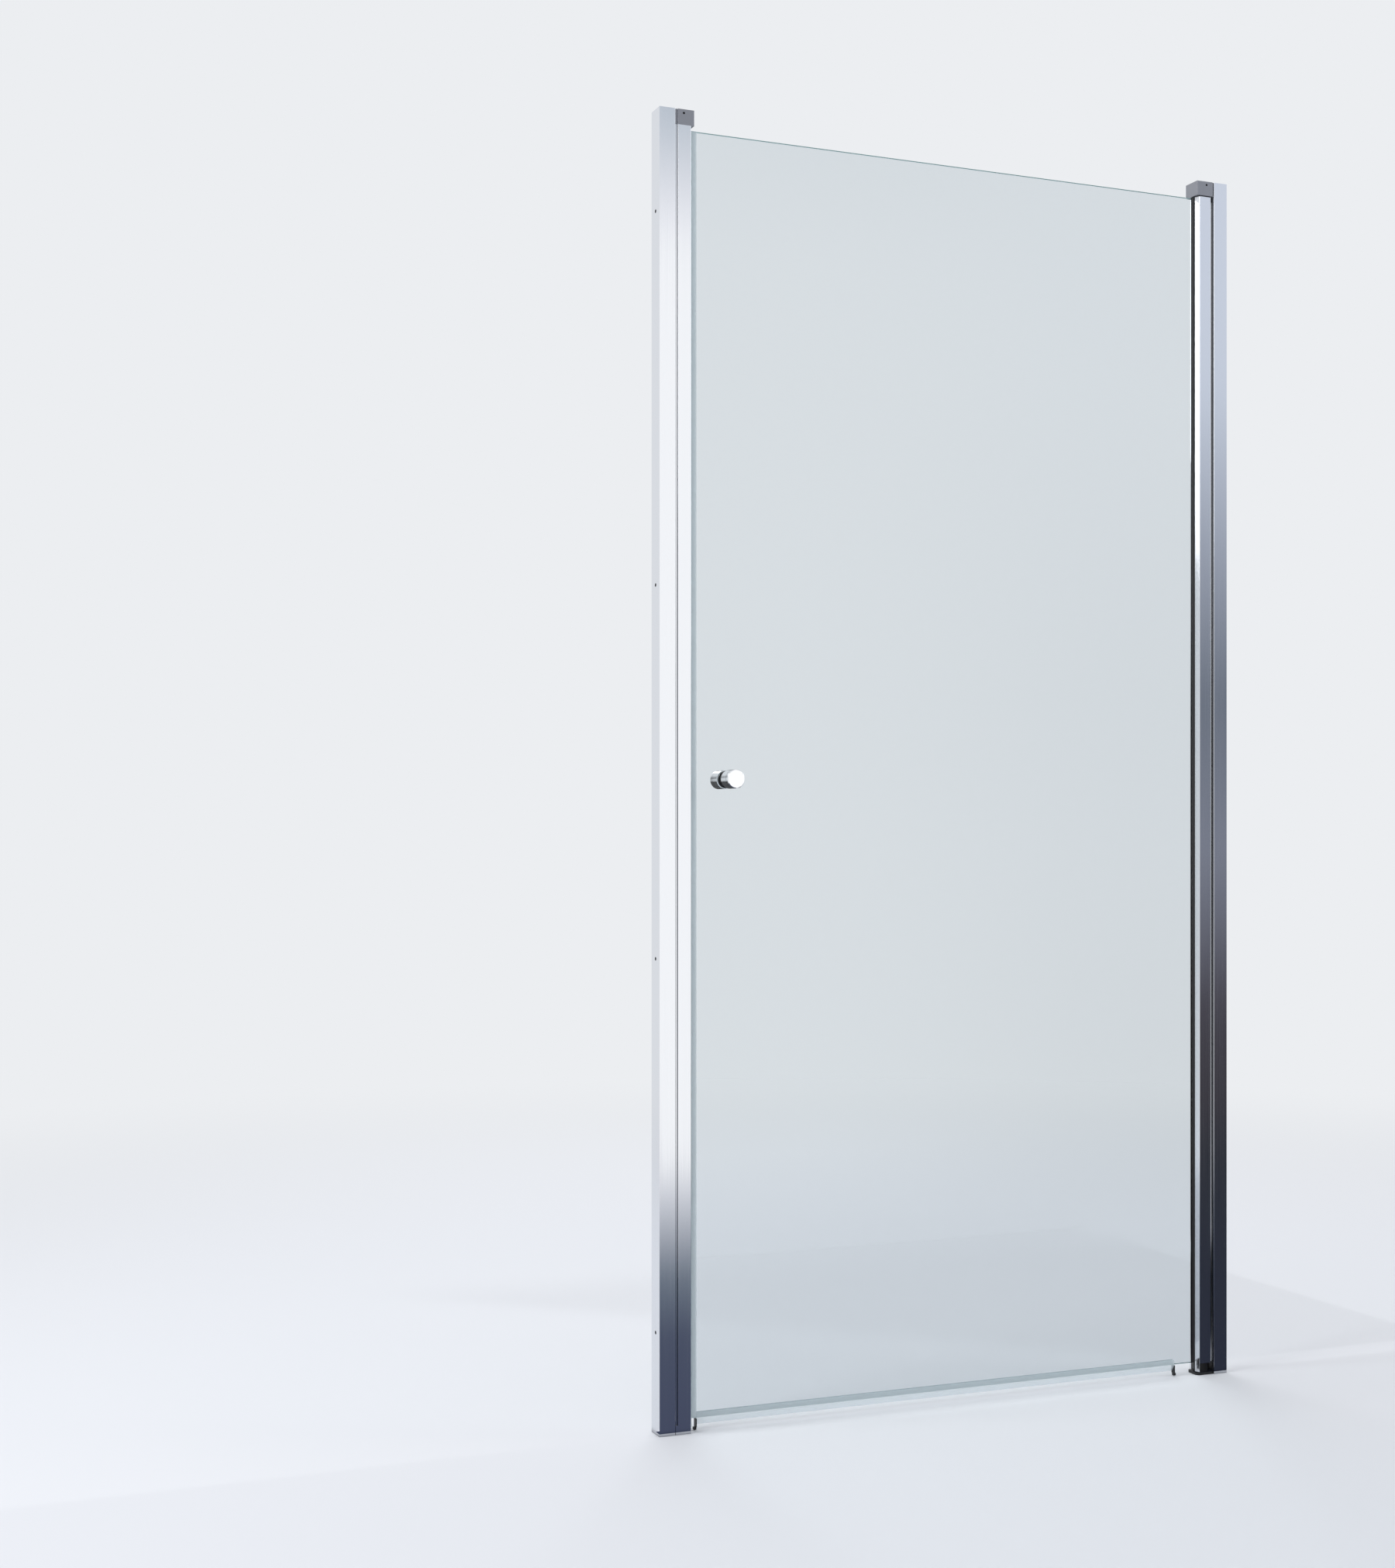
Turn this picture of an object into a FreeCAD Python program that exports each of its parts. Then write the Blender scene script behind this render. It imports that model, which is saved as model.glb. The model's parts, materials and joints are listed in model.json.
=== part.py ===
"""Pivot shower door for a niche: one glass leaf that swings on two pivots between two wall jambs.

Millimetres.  X runs along the opening, from the strike jamb to the hinge jamb.  +Y goes into the shower and
-Y out of it.  Z is up.  The origin is the middle of the opening at tray level, on the glass's middle plane.
"""
import FreeCAD, Part
import os
from FreeCAD import Vector

# ---------------------------------------------------------------- the opening
niche_width = 1000.0        # wall to wall
frame_height = 1950.0       # tray to the top of the jambs

# ---------------------------------------------------------------- wall channels, one on each wall
channel_reach = 25.0        # out from the wall
channel_depth = 32.0        # front to back
channel_web = 2.0           # against the wall
channel_leg = 1.6
channel_edge_round = 0.4
wall_hole_radius = 2.75
wall_hole_from_end = 150.0
wall_hole_count = 4
overcut = 1.0               # how far a cutting shape runs past the surface it cuts
slide_clearance = 0.3       # between a channel leg and the tongue in it
slide_travel = 9.0          # how far a channel draws out to meet a wall that stands further off

# ---------------------------------------------------------------- adjusting profiles
tongue_wall = 1.5
tongue_back_gap = 0.6       # between the tongue and the channel's web
profile_wall = 1.6
groove_width = 4.0          # shadow gap between the strike channel and the strike head
strike_head_width = 21.0
profile_edge_round = 0.5
screw_port_radius = 2.7
screw_port_hole = 1.6
port_bite = 0.5             # how far a screw port sinks into the wall that carries it

# ---------------------------------------------------------------- clamp screws and their nuts
clamp_screw_from_wall = 17.3
clamp_screw_radius = 2.0
clamp_head_radius = 3.8
clamp_head_height = 2.4
clamp_head_round = 1.0
clamp_cross_length = 4.2
clamp_cross_width = 0.9
clamp_cross_depth = 1.4
clamp_tip_past_nut = 1.0
nut_bore_clearance = 0.05
clamp_hole_clearance = 0.2
clamp_screw_from_end = 250.0
nut_size = 7.0
nut_height = 3.0
nut_clearance = 0.3

# ---------------------------------------------------------------- end caps of the strike jamb
cap_height = 23.0
cap_overhang = 5.0          # past the strike head, over the seal
cap_tail_root = 1.0         # how far the tail of a cap or block runs into its head
bottom_cap_height = 14.0
bottom_cap_round = 1.0
end_screw_head_radius = 2.9
end_screw_head_height = 2.0
end_screw_length = 26.0
end_screw_sink = 5.0        # depth of the head's recess in a cap
end_screw_clearance = 0.1
end_screw_thread_play = 0.02
end_screw_socket_radius = 1.2
end_screw_socket_depth = 1.4
lock_screw_radius = 1.8
lock_screw_length = 6.0
lock_screw_from_top = 5.5
lock_screw_socket = 0.9
lock_screw_offset = 1.0     # from the middle of the strike head

# ---------------------------------------------------------------- glass leaf
glass_thickness = 6.0
glass_arris = 0.5
glass_bottom = 19.0         # tray to the glass
glass_top_gap = 26.0        # glass to the top of the jambs
edge_gap = 5.5              # strike head to the glass edge, where the magnets meet
glass_insertion = 6.0       # into the stile

# ---------------------------------------------------------------- door stile and pivots
stile_width = 24.5
stile_depth = 28.0
stile_nose = 3.0            # how far the slanted cheeks stand out towards the glass
stile_wall = 1.8
stile_arris = 0.5           # crisp edge between a cheek and the front
stile_back_round = 0.5
stile_from_wall = 30.0      # wall to the stile's hinge face
stile_top_gap = 1.5         # stile to the upper pivot block
skirt_bottom = 5.0          # the stile's glass side runs on down to here
pivot_from_wall = 39.5
pivot_pin_radius = 2.5
pivot_running_clearance = 0.06
bush_wall = 1.0
pocket_wall = 1.4           # round the glass inside the stile
packer_thickness = 1.4
packer_height = 30.0
packer_from_end = 180.0
plug_length = 25.0
plug_clearance = 0.2
plug_round = 1.0
plug_screw_radius = 1.5
plug_screw_head_radius = 2.6
plug_screw_head_height = 1.2
plug_screw_length = 9.0
plug_screw_slot = 0.8
plug_screw_hole_clearance = 0.1
upper_pin_length = 36.0
upper_pin_seat = 20.0       # length of the pin held in the stile
lower_pin_length = 28.0
lower_pin_above_block = 14.0
pin_chamfer = 0.5
pin_end_play = 1.0          # between the end of a pin and the end of its bush

# ---------------------------------------------------------------- pivot blocks on the hinge jamb
base_plate_height = 4.0
base_plate_corner = 6.0
base_plate_overhang = 2.0   # past the stile's glass side
lower_block_radius = 12.7
lower_block_top = 18.0
thrust_washer_radius = 7.0
block_side_gap = 2.5        # upper block to the hinge channel
block_overhang = 3.0        # upper block past the stile's glass side

# ---------------------------------------------------------------- brush seals beside the stile
swing_clearance = 0.5       # stile's corner circle to the hinge profile
hollow_wall = 1.6
hollow_tip_from_wall = 26.0
brush_pile = 0.2            # stands out of the hollow
brush_base = 0.7            # let into the hollow's wall
brush_end_play = 0.5
brush_start_angle = 24.0
brush_end_angle = 41.0

# ---------------------------------------------------------------- gaskets and seals
gasket_face_width = 4.0     # black lip on the glass beside the stile
gasket_tip_bevel = 0.4
gasket_tip = 0.6
gasket_heel = 1.7
gasket_thickness = 2.2
seal_gap = 0.3              # between the two magnet seals when the door is shut
seal_wall = 0.4
magnet_thickness = 1.6
magnet_width = 8.2
magnet_clearance = 0.05
seal_slot_half = 3.2        # slot in the strike head
seal_foot_half = 5.2
seal_foot_depth = 3.4
seal_foot_play = 0.4        # round the foot, front to back in the slot
seal_side_play = 0.2        # on each side of the foot and neck
seal_bottom = 6.5           # the seals' heads run on down to here, below the glass
stop_fin_reach = 7.5
stop_fin_thickness = 1.1
stop_fin_gap = 0.4
seal_arm_thickness = 1.0
seal_arm_reach = 8.0
drip_arm_height = 8.0
drip_base = 1.4
drip_fin_drop = 9.5
drip_fin_slope = 6.0
drip_fin_thickness = 1.0
drip_fin_inset = 0.6
drip_start_from_edge = 8.5
drip_end_from_stile = 39.5
end_stop_length = 1.5
end_stop_bottom = 1.0
end_stop_foot_length = 4.0
end_stop_foot_half = 2.5
end_stop_foot_height = 4.0

# ---------------------------------------------------------------- knob, the same inside and out
knob_from_edge = 59.0
knob_height = 965.0
knob_radius = 14.0
knob_length = 26.5
knob_chamfer = 1.0
knob_groove_from_front = 7.0
knob_groove_width = 0.8
knob_groove_depth = 0.5
knob_neck_radius = 10.0
knob_neck_length = 1.5
knob_washer_thickness = 4.0
knob_washer_radius = 13.0
knob_hole_radius = 6.0
sleeve_clearance = 0.2
stud_radius = 3.0
stud_clearance = 0.05
stud_grip = 22.0            # length of the stud in each half of the knob, from the glass
set_screw_radius = 1.8
set_screw_length = 8.0
set_screw_from_back = 5.0   # from the end of the knob that faces the glass
set_screw_socket_depth = 1.5
set_screw_tip_gap = 0.1     # to the stud

# ---------------------------------------------------------------- places worked out from the sizes above
wall_x = niche_width / 2
half_depth = channel_depth / 2
tongue_half = half_depth - channel_leg - slide_clearance
tongue_end = channel_web + tongue_back_gap
strike_face = -wall_x + channel_reach + groove_width + strike_head_width
profile_top = frame_height - cap_height
glass_half = glass_thickness / 2
glass_left = strike_face + edge_gap
stile_right = wall_x - stile_from_wall
stile_left = stile_right - stile_width
stile_half = stile_depth / 2
glass_right = stile_left + glass_insertion
glass_top = frame_height - glass_top_gap
pivot_x = wall_x - pivot_from_wall
stile_bottom = glass_bottom
stile_top = profile_top - stile_top_gap
pocket_half = glass_half + gasket_thickness
pocket_end = glass_right + packer_thickness
plug_left = pocket_end + pocket_wall + plug_clearance
bush_outer = pivot_pin_radius + bush_wall
bush_inner = pivot_pin_radius + pivot_running_clearance
stile_front_left = stile_left + stile_nose
corner_swing = Vector(max(pivot_x - stile_front_left, stile_right - pivot_x), stile_half, 0).Length
hollow_radius = corner_swing + swing_clearance
clamp_heights = [clamp_screw_from_end, frame_height / 2, frame_height - clamp_screw_from_end]
wall_hole_pitch = (frame_height - 2 * wall_hole_from_end) / (wall_hole_count - 1)
wall_hole_heights = [wall_hole_from_end + place * wall_hole_pitch for place in range(wall_hole_count)]
knob_x = glass_left + knob_from_edge


# ---------------------------------------------------------------- small helpers
def block(x, y, z):
    """A box between three (low, high) pairs."""
    return Part.makeBox(x[1] - x[0], y[1] - y[0], z[1] - z[0], Vector(x[0], y[0], z[0]))


def both(half):
    """The (low, high) pair of a width centred on the glass plane."""
    return (-half, half)


def rod(radius, start, end):
    """A round bar from one point to another."""
    along = Vector(*end) - Vector(*start)
    return Part.makeCylinder(radius, along.Length, Vector(*start), along)


def tube(outer, inner, start, end):
    return rod(outer, start, end).cut(rod(inner, start, end))


def upright(points, bottom, top):
    """A straight bar that stands on a flat outline of (x, y) points."""
    corners = [Vector(x, y, bottom) for x, y in points]
    outline = Part.makePolygon(corners + corners[:1])
    return Part.Face(outline).extrude(Vector(0, 0, top - bottom))


def lengthwise(points, left, right):
    """A straight bar that runs along the opening on a section of (y, z) points."""
    corners = [Vector(left, y, z) for y, z in points]
    outline = Part.makePolygon(corners + corners[:1])
    return Part.Face(outline).extrude(Vector(right - left, 0, 0))


def standing_edges(shape, keep):
    """Upright edges of a shape whose foot satisfies keep(x, y)."""
    found = []
    for edge in shape.Edges:
        low, high = edge.Vertexes[0].Point, edge.Vertexes[-1].Point
        flat = abs(low.x - high.x) < 1e-6 and abs(low.y - high.y) < 1e-6
        if flat and abs(low.z - high.z) > 1e-6 and keep(low.x, low.y):
            found.append(edge)
    return found


def rounded(shape, radius, keep=lambda x, y: True):
    return shape.makeFillet(radius, standing_edges(shape, keep))


def ring_sector(outer, inner, start_angle, end_angle, bottom, top):
    """Part of a ring about the pivot axis, between two angles measured from +X."""
    sweep = end_angle - start_angle
    solid = Part.makeCylinder(outer, top - bottom, Vector(pivot_x, 0, bottom), Vector(0, 0, 1), sweep)
    solid = solid.cut(rod(inner, (pivot_x, 0, bottom), (pivot_x, 0, top)))
    solid.rotate(Vector(pivot_x, 0, 0), Vector(0, 0, 1), start_angle)
    return solid


def mirrored(shape):
    """The same piece on the other wall."""
    return shape.mirror(Vector(0, 0, 0), Vector(1, 0, 0))


def flipped(shape):
    """The same piece on the other side of the glass."""
    return shape.mirror(Vector(0, 0, 0), Vector(0, 1, 0))


def group(solids):
    return Part.makeCompound(solids)


# ---------------------------------------------------------------- wall channels
def wall_channel():
    """The strike-side U channel, screwed to the wall through its web."""
    outer = block((-wall_x, -wall_x + channel_reach), both(half_depth), (0, frame_height))
    outer = rounded(outer, channel_edge_round, lambda x, y: x > -wall_x + channel_web)
    inside = both(half_depth - channel_leg)
    shape = outer.cut(block((-wall_x + channel_web, 0), inside, (0, frame_height)))
    for height in wall_hole_heights:
        shape = shape.cut(rod(wall_hole_radius, (-wall_x, 0, height), (-wall_x + channel_web, 0, height)))
    hole = clamp_screw_radius + clamp_hole_clearance
    screw_x = -wall_x + clamp_screw_from_wall
    for height in clamp_heights:
        shape = shape.cut(rod(hole, (screw_x, 0, height), (screw_x, half_depth, height)))
    return shape


def clamp_screws():
    """Pan-head screws through the channel's shower-side leg."""
    screw_x = -wall_x + clamp_screw_from_wall
    nut_back = tongue_half - tongue_wall - nut_clearance - nut_height
    solids = []
    for height in clamp_heights:
        tip = nut_back - clamp_tip_past_nut
        shank = rod(clamp_screw_radius, (screw_x, tip, height), (screw_x, half_depth, height))
        head = rod(clamp_head_radius, (screw_x, half_depth, height),
                   (screw_x, half_depth + clamp_head_height, height))
        head = head.makeFillet(clamp_head_round, [head.Edges[0]])
        cross = cross_recess(screw_x, half_depth + clamp_head_height, height)
        solids.append(shank.fuse(head).cut(cross))
    return group(solids)


def cross_recess(x, outer_y, z):
    """The cross in a pan head."""
    long_half, short_half = clamp_cross_length / 2, clamp_cross_width / 2
    depth = (outer_y - clamp_cross_depth, outer_y + overcut)
    tall = block((x - short_half, x + short_half), depth, (z - long_half, z + long_half))
    wide = block((x - long_half, x + long_half), depth, (z - short_half, z + short_half))
    return tall.fuse(wide)


def clamp_nuts():
    """Square nuts inside the tongue; they travel with the channel."""
    screw_x = -wall_x + clamp_screw_from_wall
    face = tongue_half - tongue_wall - nut_clearance
    half = nut_size / 2
    solids = []
    for height in clamp_heights:
        nut = block((screw_x - half, screw_x + half), (face - nut_height, face), (height - half, height + half))
        bore = clamp_screw_radius + nut_bore_clearance
        solids.append(nut.cut(rod(bore, (screw_x, face - nut_height, height), (screw_x, face, height))))
    return group(solids)


# ---------------------------------------------------------------- adjusting profiles
def clamp_slots():
    """Slots in the tongue's shower-side wall that let the clamp screws travel with the channel."""
    near = -wall_x + clamp_screw_from_wall
    far = near - slide_travel
    half = clamp_screw_radius + clamp_hole_clearance
    depth = (tongue_half - tongue_wall - overcut, tongue_half + overcut)
    slots = []
    for height in clamp_heights:
        slot = block((far, near), depth, (height - half, height + half))
        for x in (far, near):
            slot = slot.fuse(rod(half, (x, depth[0], height), (x, depth[1], height)))
        slots.append(slot)
    return group(slots)


def screw_port(x, y, bottom, top):
    """An extruded tube that an end screw bites into."""
    return tube(screw_port_radius, screw_port_hole, (x, y, bottom), (x, y, top))


def strike_port_places():
    x = strike_face - strike_head_width + profile_wall + screw_port_radius - port_bite
    y = half_depth - profile_wall - screw_port_radius + port_bite
    return [(x, -y), (x, y)]


def hinge_port_places():
    beside_hollow = pivot_x + hollow_radius + hollow_wall + screw_port_radius - port_bite
    in_corner = wall_x - tongue_end - tongue_wall - screw_port_radius + port_bite
    return [(in_corner, -tongue_half + tongue_wall + screw_port_radius - port_bite), (beside_hollow, 0)]


def strike_adjusting_profile():
    """Hollow tongue inside the wall channel, and a flush hollow head with a slot for the magnet seal."""
    span = (bottom_cap_height, profile_top)
    head_left = strike_face - strike_head_width
    tongue_left = -wall_x + tongue_end
    tongue = block((tongue_left, head_left + profile_wall), both(tongue_half), span)
    head = rounded(block((head_left, strike_face), both(half_depth), span), profile_edge_round)
    shape = tongue.fuse(head).removeSplitter()
    hollow = both(tongue_half - tongue_wall)
    shape = shape.cut(block((tongue_left + tongue_wall, head_left), hollow, span))
    pocket_right = strike_face - profile_wall
    pocket_left = pocket_right - seal_foot_depth - seal_foot_play
    head_hollow = both(half_depth - profile_wall)
    shape = shape.cut(block((head_left + profile_wall, pocket_left - profile_wall), head_hollow, span))
    pocket_half_width = seal_foot_half + seal_side_play
    shape = shape.cut(block((pocket_left, pocket_right), both(pocket_half_width), span))
    shape = shape.cut(block((pocket_left, strike_face), both(seal_slot_half), span))
    side = (pocket_half_width + profile_wall, half_depth - profile_wall)
    chamber = block((pocket_left, pocket_right), side, span)
    shape = shape.cut(chamber).cut(flipped(chamber))
    for x, y in strike_port_places():
        shape = shape.fuse(screw_port(x, y, *span))
        shape = shape.cut(rod(screw_port_hole, (x, y, span[0]), (x, y, span[1])))
    return shape.cut(clamp_slots())


def hinge_adjusting_profile():
    """Hollow tongue whose open side is a round hollow that the stile turns in."""
    span = (lower_block_top, profile_top)
    right = wall_x - tongue_end
    shape = block((wall_x - hollow_tip_from_wall, right), both(tongue_half), span)
    axis = ((pivot_x, 0, span[0]), (pivot_x, 0, span[1]))
    inner = block((pivot_x, right - tongue_wall), both(tongue_half - tongue_wall), span)
    inner = inner.cut(rod(hollow_radius + hollow_wall, *axis))
    shape = shape.cut(inner).cut(rod(hollow_radius, *axis))
    for x, y in hinge_port_places():
        shape = shape.fuse(screw_port(x, y, *span))
        shape = shape.cut(rod(screw_port_hole, (x, y, span[0]), (x, y, span[1])))
    groove = brush_sector(hollow_radius - overcut, 0)
    return shape.cut(groove).cut(flipped(groove)).cut(mirrored(clamp_slots()))


def brush_sector(inner_radius, end_play):
    """The room of the outer brush seal, or the seal itself."""
    bottom, top = lower_block_top + end_play, profile_top - end_play
    return ring_sector(hollow_radius + brush_base, inner_radius, -brush_end_angle, -brush_start_angle, bottom, top)


def outer_brush_seal():
    return brush_sector(hollow_radius - brush_pile, brush_end_play)


# ---------------------------------------------------------------- end screws and caps
def end_screw(x, y, head_seat, up):
    """A countersunk cap screw; up is +1 where its head faces up."""
    tip = head_seat - up * end_screw_length
    shank = rod(screw_port_hole - end_screw_thread_play, (x, y, head_seat), (x, y, tip))
    head = rod(end_screw_head_radius, (x, y, head_seat), (x, y, head_seat + up * end_screw_head_height))
    head_top = head_seat + up * end_screw_head_height
    socket = rod(end_screw_socket_radius, (x, y, head_top - up * end_screw_socket_depth), (x, y, head_top))
    return shank.fuse(head).cut(socket)


def end_screw_room(x, y, head_seat, outer_face):
    """The hole for an end screw through a cap, down to the profile."""
    through = frame_height / 2
    shank = rod(screw_port_hole + end_screw_clearance, (x, y, head_seat), (x, y, through))
    head = rod(end_screw_head_radius + end_screw_clearance, (x, y, head_seat), (x, y, outer_face))
    return shank.fuse(head)


def top_seat():
    return frame_height - end_screw_sink


def end_screws():
    """Two screws in each end of each adjusting profile."""
    solids = []
    for x, y in strike_port_places() + hinge_port_places():
        solids.append(end_screw(x, y, top_seat(), 1))
        solids.append(end_screw(x, y, end_screw_sink, -1))
    return group(solids)


def lock_screw(x):
    """A small grub screw in the front of a cap."""
    z = frame_height - lock_screw_from_top
    body = rod(lock_screw_radius, (x, -half_depth, z), (x, -half_depth + lock_screw_length, z))
    socket = rod(lock_screw_socket, (x, -half_depth, z), (x, -half_depth + lock_screw_length / 3, z))
    return body.cut(socket)


def lock_screw_room(x):
    z = frame_height - lock_screw_from_top
    return rod(lock_screw_radius, (x, -half_depth, z), (x, -half_depth + lock_screw_length, z))


def strike_lock_x():
    return strike_face - strike_head_width / 2 - lock_screw_offset


def cap_lock_screws():
    return group([lock_screw(strike_lock_x()), lock_screw(pivot_x)])


def strike_top_cap():
    span = (profile_top, frame_height)
    head_left = strike_face - strike_head_width
    head = block((head_left, strike_face + cap_overhang), both(half_depth), span)
    head = rounded(head, profile_edge_round)
    tail = block((-wall_x + tongue_end, head_left + cap_tail_root), both(tongue_half), span)
    shape = head.fuse(tail).removeSplitter().cut(lock_screw_room(strike_lock_x()))
    for x, y in strike_port_places():
        shape = shape.cut(end_screw_room(x, y, top_seat(), frame_height + overcut))
    return shape


def strike_bottom_cap():
    """Closes the foot of the strike profile and covers the shadow gap."""
    span = (0, bottom_cap_height)
    left = -wall_x + channel_reach + slide_clearance
    head = rounded(block((left, strike_face), both(half_depth), span), bottom_cap_round)
    tail = block((-wall_x + tongue_end, left + bottom_cap_round), both(tongue_half), span)
    shape = head.fuse(tail).removeSplitter()
    for x, y in strike_port_places():
        shape = shape.cut(end_screw_room(x, y, end_screw_sink, -overcut))
    return shape


# ---------------------------------------------------------------- pivot blocks
def upper_pivot_block():
    """Moulded block on top of the hinge profile that reaches over the stile and holds its bush."""
    span = (profile_top, frame_height)
    left, right = stile_left - block_overhang, wall_x - channel_reach - block_side_gap
    head = rounded(block((left, right), both(half_depth), span), profile_edge_round)
    tail = block((right - cap_tail_root, wall_x - tongue_end), both(tongue_half), span)
    shape = head.fuse(tail).removeSplitter()
    shape = shape.cut(rod(bush_outer, (pivot_x, 0, span[0]), (pivot_x, 0, upper_bush_top())))
    shape = shape.cut(lock_screw_room(pivot_x))
    for x, y in hinge_port_places():
        shape = shape.cut(end_screw_room(x, y, top_seat(), frame_height + overcut))
    return shape


def upper_bush_top():
    return stile_top - upper_pin_seat + upper_pin_length + pin_end_play


def lower_pivot_block():
    """Foot under the hinge profile, with a plate that reaches under the stile and a boss it turns on."""
    right = wall_x - tongue_end
    plate = block((stile_left - base_plate_overhang, right), both(tongue_half), (0, base_plate_height))
    plate = rounded(plate, base_plate_corner, lambda x, y: x < stile_left)
    boss = rod(lower_block_radius, (pivot_x, 0, 0), (pivot_x, 0, lower_block_top))
    foot = block((wall_x - hollow_tip_from_wall, right), both(tongue_half), (0, lower_block_top))
    foot = foot.cut(rod(hollow_radius, (pivot_x, 0, base_plate_height), (pivot_x, 0, lower_block_top)))
    shape = plate.fuse([boss, foot]).removeSplitter()
    pin_foot = lower_block_top + lower_pin_above_block - lower_pin_length
    shape = shape.cut(rod(pivot_pin_radius, (pivot_x, 0, pin_foot), (pivot_x, 0, lower_block_top)))
    for x, y in hinge_port_places():
        shape = shape.cut(end_screw_room(x, y, end_screw_sink, -overcut))
    return shape


def upper_pivot_bush():
    return tube(bush_outer, bush_inner, (pivot_x, 0, profile_top), (pivot_x, 0, upper_bush_top()))


def upper_pivot_pin():
    bottom = stile_top - upper_pin_seat
    pin = rod(pivot_pin_radius, (pivot_x, 0, bottom), (pivot_x, 0, bottom + upper_pin_length))
    return pin.makeChamfer(pin_chamfer, [edge for edge in pin.Edges if len(edge.Vertexes) == 1])


def lower_pivot_pin():
    top = lower_block_top + lower_pin_above_block
    pin = rod(pivot_pin_radius, (pivot_x, 0, top - lower_pin_length), (pivot_x, 0, top))
    return pin.makeChamfer(pin_chamfer, [edge for edge in pin.Edges if len(edge.Vertexes) == 1])


def thrust_washer():
    return tube(thrust_washer_radius, bush_inner, (pivot_x, 0, lower_block_top), (pivot_x, 0, stile_bottom))


# ---------------------------------------------------------------- door stile
def stile_section(inset):
    """The stile's outline, moved in by a wall: square behind, with cheeks that slant to the glass pocket."""
    corners = [
        (stile_left, -pocket_half), (stile_front_left, -stile_half), (stile_right, -stile_half),
        (stile_right, stile_half), (stile_front_left, stile_half), (stile_left, pocket_half),
    ]
    points = [Vector(x, y, skirt_bottom) for x, y in corners]
    face = Part.Face(Part.makePolygon(points + points[:1]))
    if inset:
        face = face.makeOffset2D(-inset)
    return face.extrude(Vector(0, 0, stile_top - skirt_bottom))


def door_stile():
    """Hollow pivot profile with a pocket for the glass; its cheeks run on down as a skirt."""
    span = (skirt_bottom, stile_top)
    outer = rounded(stile_section(0), stile_back_round, lambda x, y: x > pivot_x)
    outer = rounded(outer, stile_arris, lambda x, y: x < pivot_x and abs(y) > pocket_half + stile_arris)
    below = block((stile_front_left, stile_right + overcut), both(stile_half + overcut), (0, stile_bottom))
    turning_room = lower_block_radius + swing_clearance
    below = below.fuse(rod(turning_room, (pivot_x, 0, 0), (pivot_x, 0, stile_bottom)))
    keep = block((stile_left, pocket_end + pocket_wall), both(pocket_half + pocket_wall), span)
    pocket = block((stile_left - overcut, pocket_end), both(pocket_half), span)
    shape = outer.cut(stile_section(stile_wall).cut(keep)).cut(pocket).cut(below)
    hole = plug_screw_radius + plug_screw_hole_clearance
    for height in plug_screw_heights():
        shape = shape.cut(rod(hole, (pivot_x, 0, height), (pivot_x, stile_half + overcut, height)))
    return shape


def plug(bottom):
    """Solid moulding that fills the end of the stile beside the glass pocket."""
    x = (plug_left, stile_right - stile_wall - plug_clearance)
    shape = block(x, both(stile_half - stile_wall - plug_clearance), (bottom, bottom + plug_length))
    shape = rounded(shape, plug_round, lambda px, py: px > pivot_x)
    screw_z = bottom + plug_length / 2
    return shape.cut(rod(plug_screw_radius, (pivot_x, plug_screw_tip(), screw_z), (pivot_x, stile_half, screw_z)))


def plug_screw_tip():
    return stile_half - plug_screw_length


def plug_screw_heights():
    return [stile_bottom + plug_length / 2, stile_top - plug_length / 2]


def stile_bottom_plug():
    return plug(stile_bottom).cut(rod(bush_outer, (pivot_x, 0, stile_bottom), (pivot_x, 0, lower_bush_top())))


def stile_top_plug():
    bottom = stile_top - plug_length
    seat = stile_top - upper_pin_seat
    return plug(bottom).cut(rod(pivot_pin_radius, (pivot_x, 0, seat), (pivot_x, 0, stile_top)))


def lower_bush_top():
    return lower_block_top + lower_pin_above_block + pin_end_play


def lower_pivot_bush():
    return tube(bush_outer, bush_inner, (pivot_x, 0, stile_bottom), (pivot_x, 0, lower_bush_top()))


def plug_screws():
    solids = []
    for height in plug_screw_heights():
        shank = rod(plug_screw_radius, (pivot_x, plug_screw_tip(), height), (pivot_x, stile_half, height))
        head = rod(plug_screw_head_radius, (pivot_x, stile_half, height),
                   (pivot_x, stile_half + plug_screw_head_height, height))
        slot = block((pivot_x - plug_screw_slot / 2, pivot_x + plug_screw_slot / 2),
                     (stile_half + plug_screw_head_height / 2, half_depth),
                     (height - plug_screw_head_radius, height + plug_screw_head_radius))
        solids.append(shank.fuse(head).cut(slot))
    return group(solids)


# ---------------------------------------------------------------- glass and what holds it
def glass_pane():
    pane = block((glass_left, glass_right), both(glass_half), (glass_bottom, glass_top))
    pane = pane.makeChamfer(glass_arris, pane.Edges)
    return pane.cut(rod(knob_hole_radius, (knob_x, -glass_thickness, knob_height),
                        (knob_x, glass_thickness, knob_height)))


def inner_glazing_gasket():
    """Wedge gasket on the shower side: a flat inside the pocket and a lip along the glass."""
    pocket_right = glass_right - glass_arris
    outline = [
        (stile_left - gasket_face_width, glass_half),
        (pocket_right, glass_half),
        (pocket_right, pocket_half),
        (stile_left, pocket_half),
        (stile_left, glass_half + gasket_heel),
        (stile_left - gasket_face_width + gasket_tip_bevel, glass_half + gasket_tip),
    ]
    return upright(outline, glass_bottom, glass_top)


def glass_edge_packers():
    """Short strips that keep the glass edge off the bottom of the pocket."""
    solids = []
    for height in (packer_from_end, frame_height - packer_from_end):
        solids.append(block((glass_right, pocket_end), both(glass_half), (height, height + packer_height)))
    return group(solids)


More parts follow.
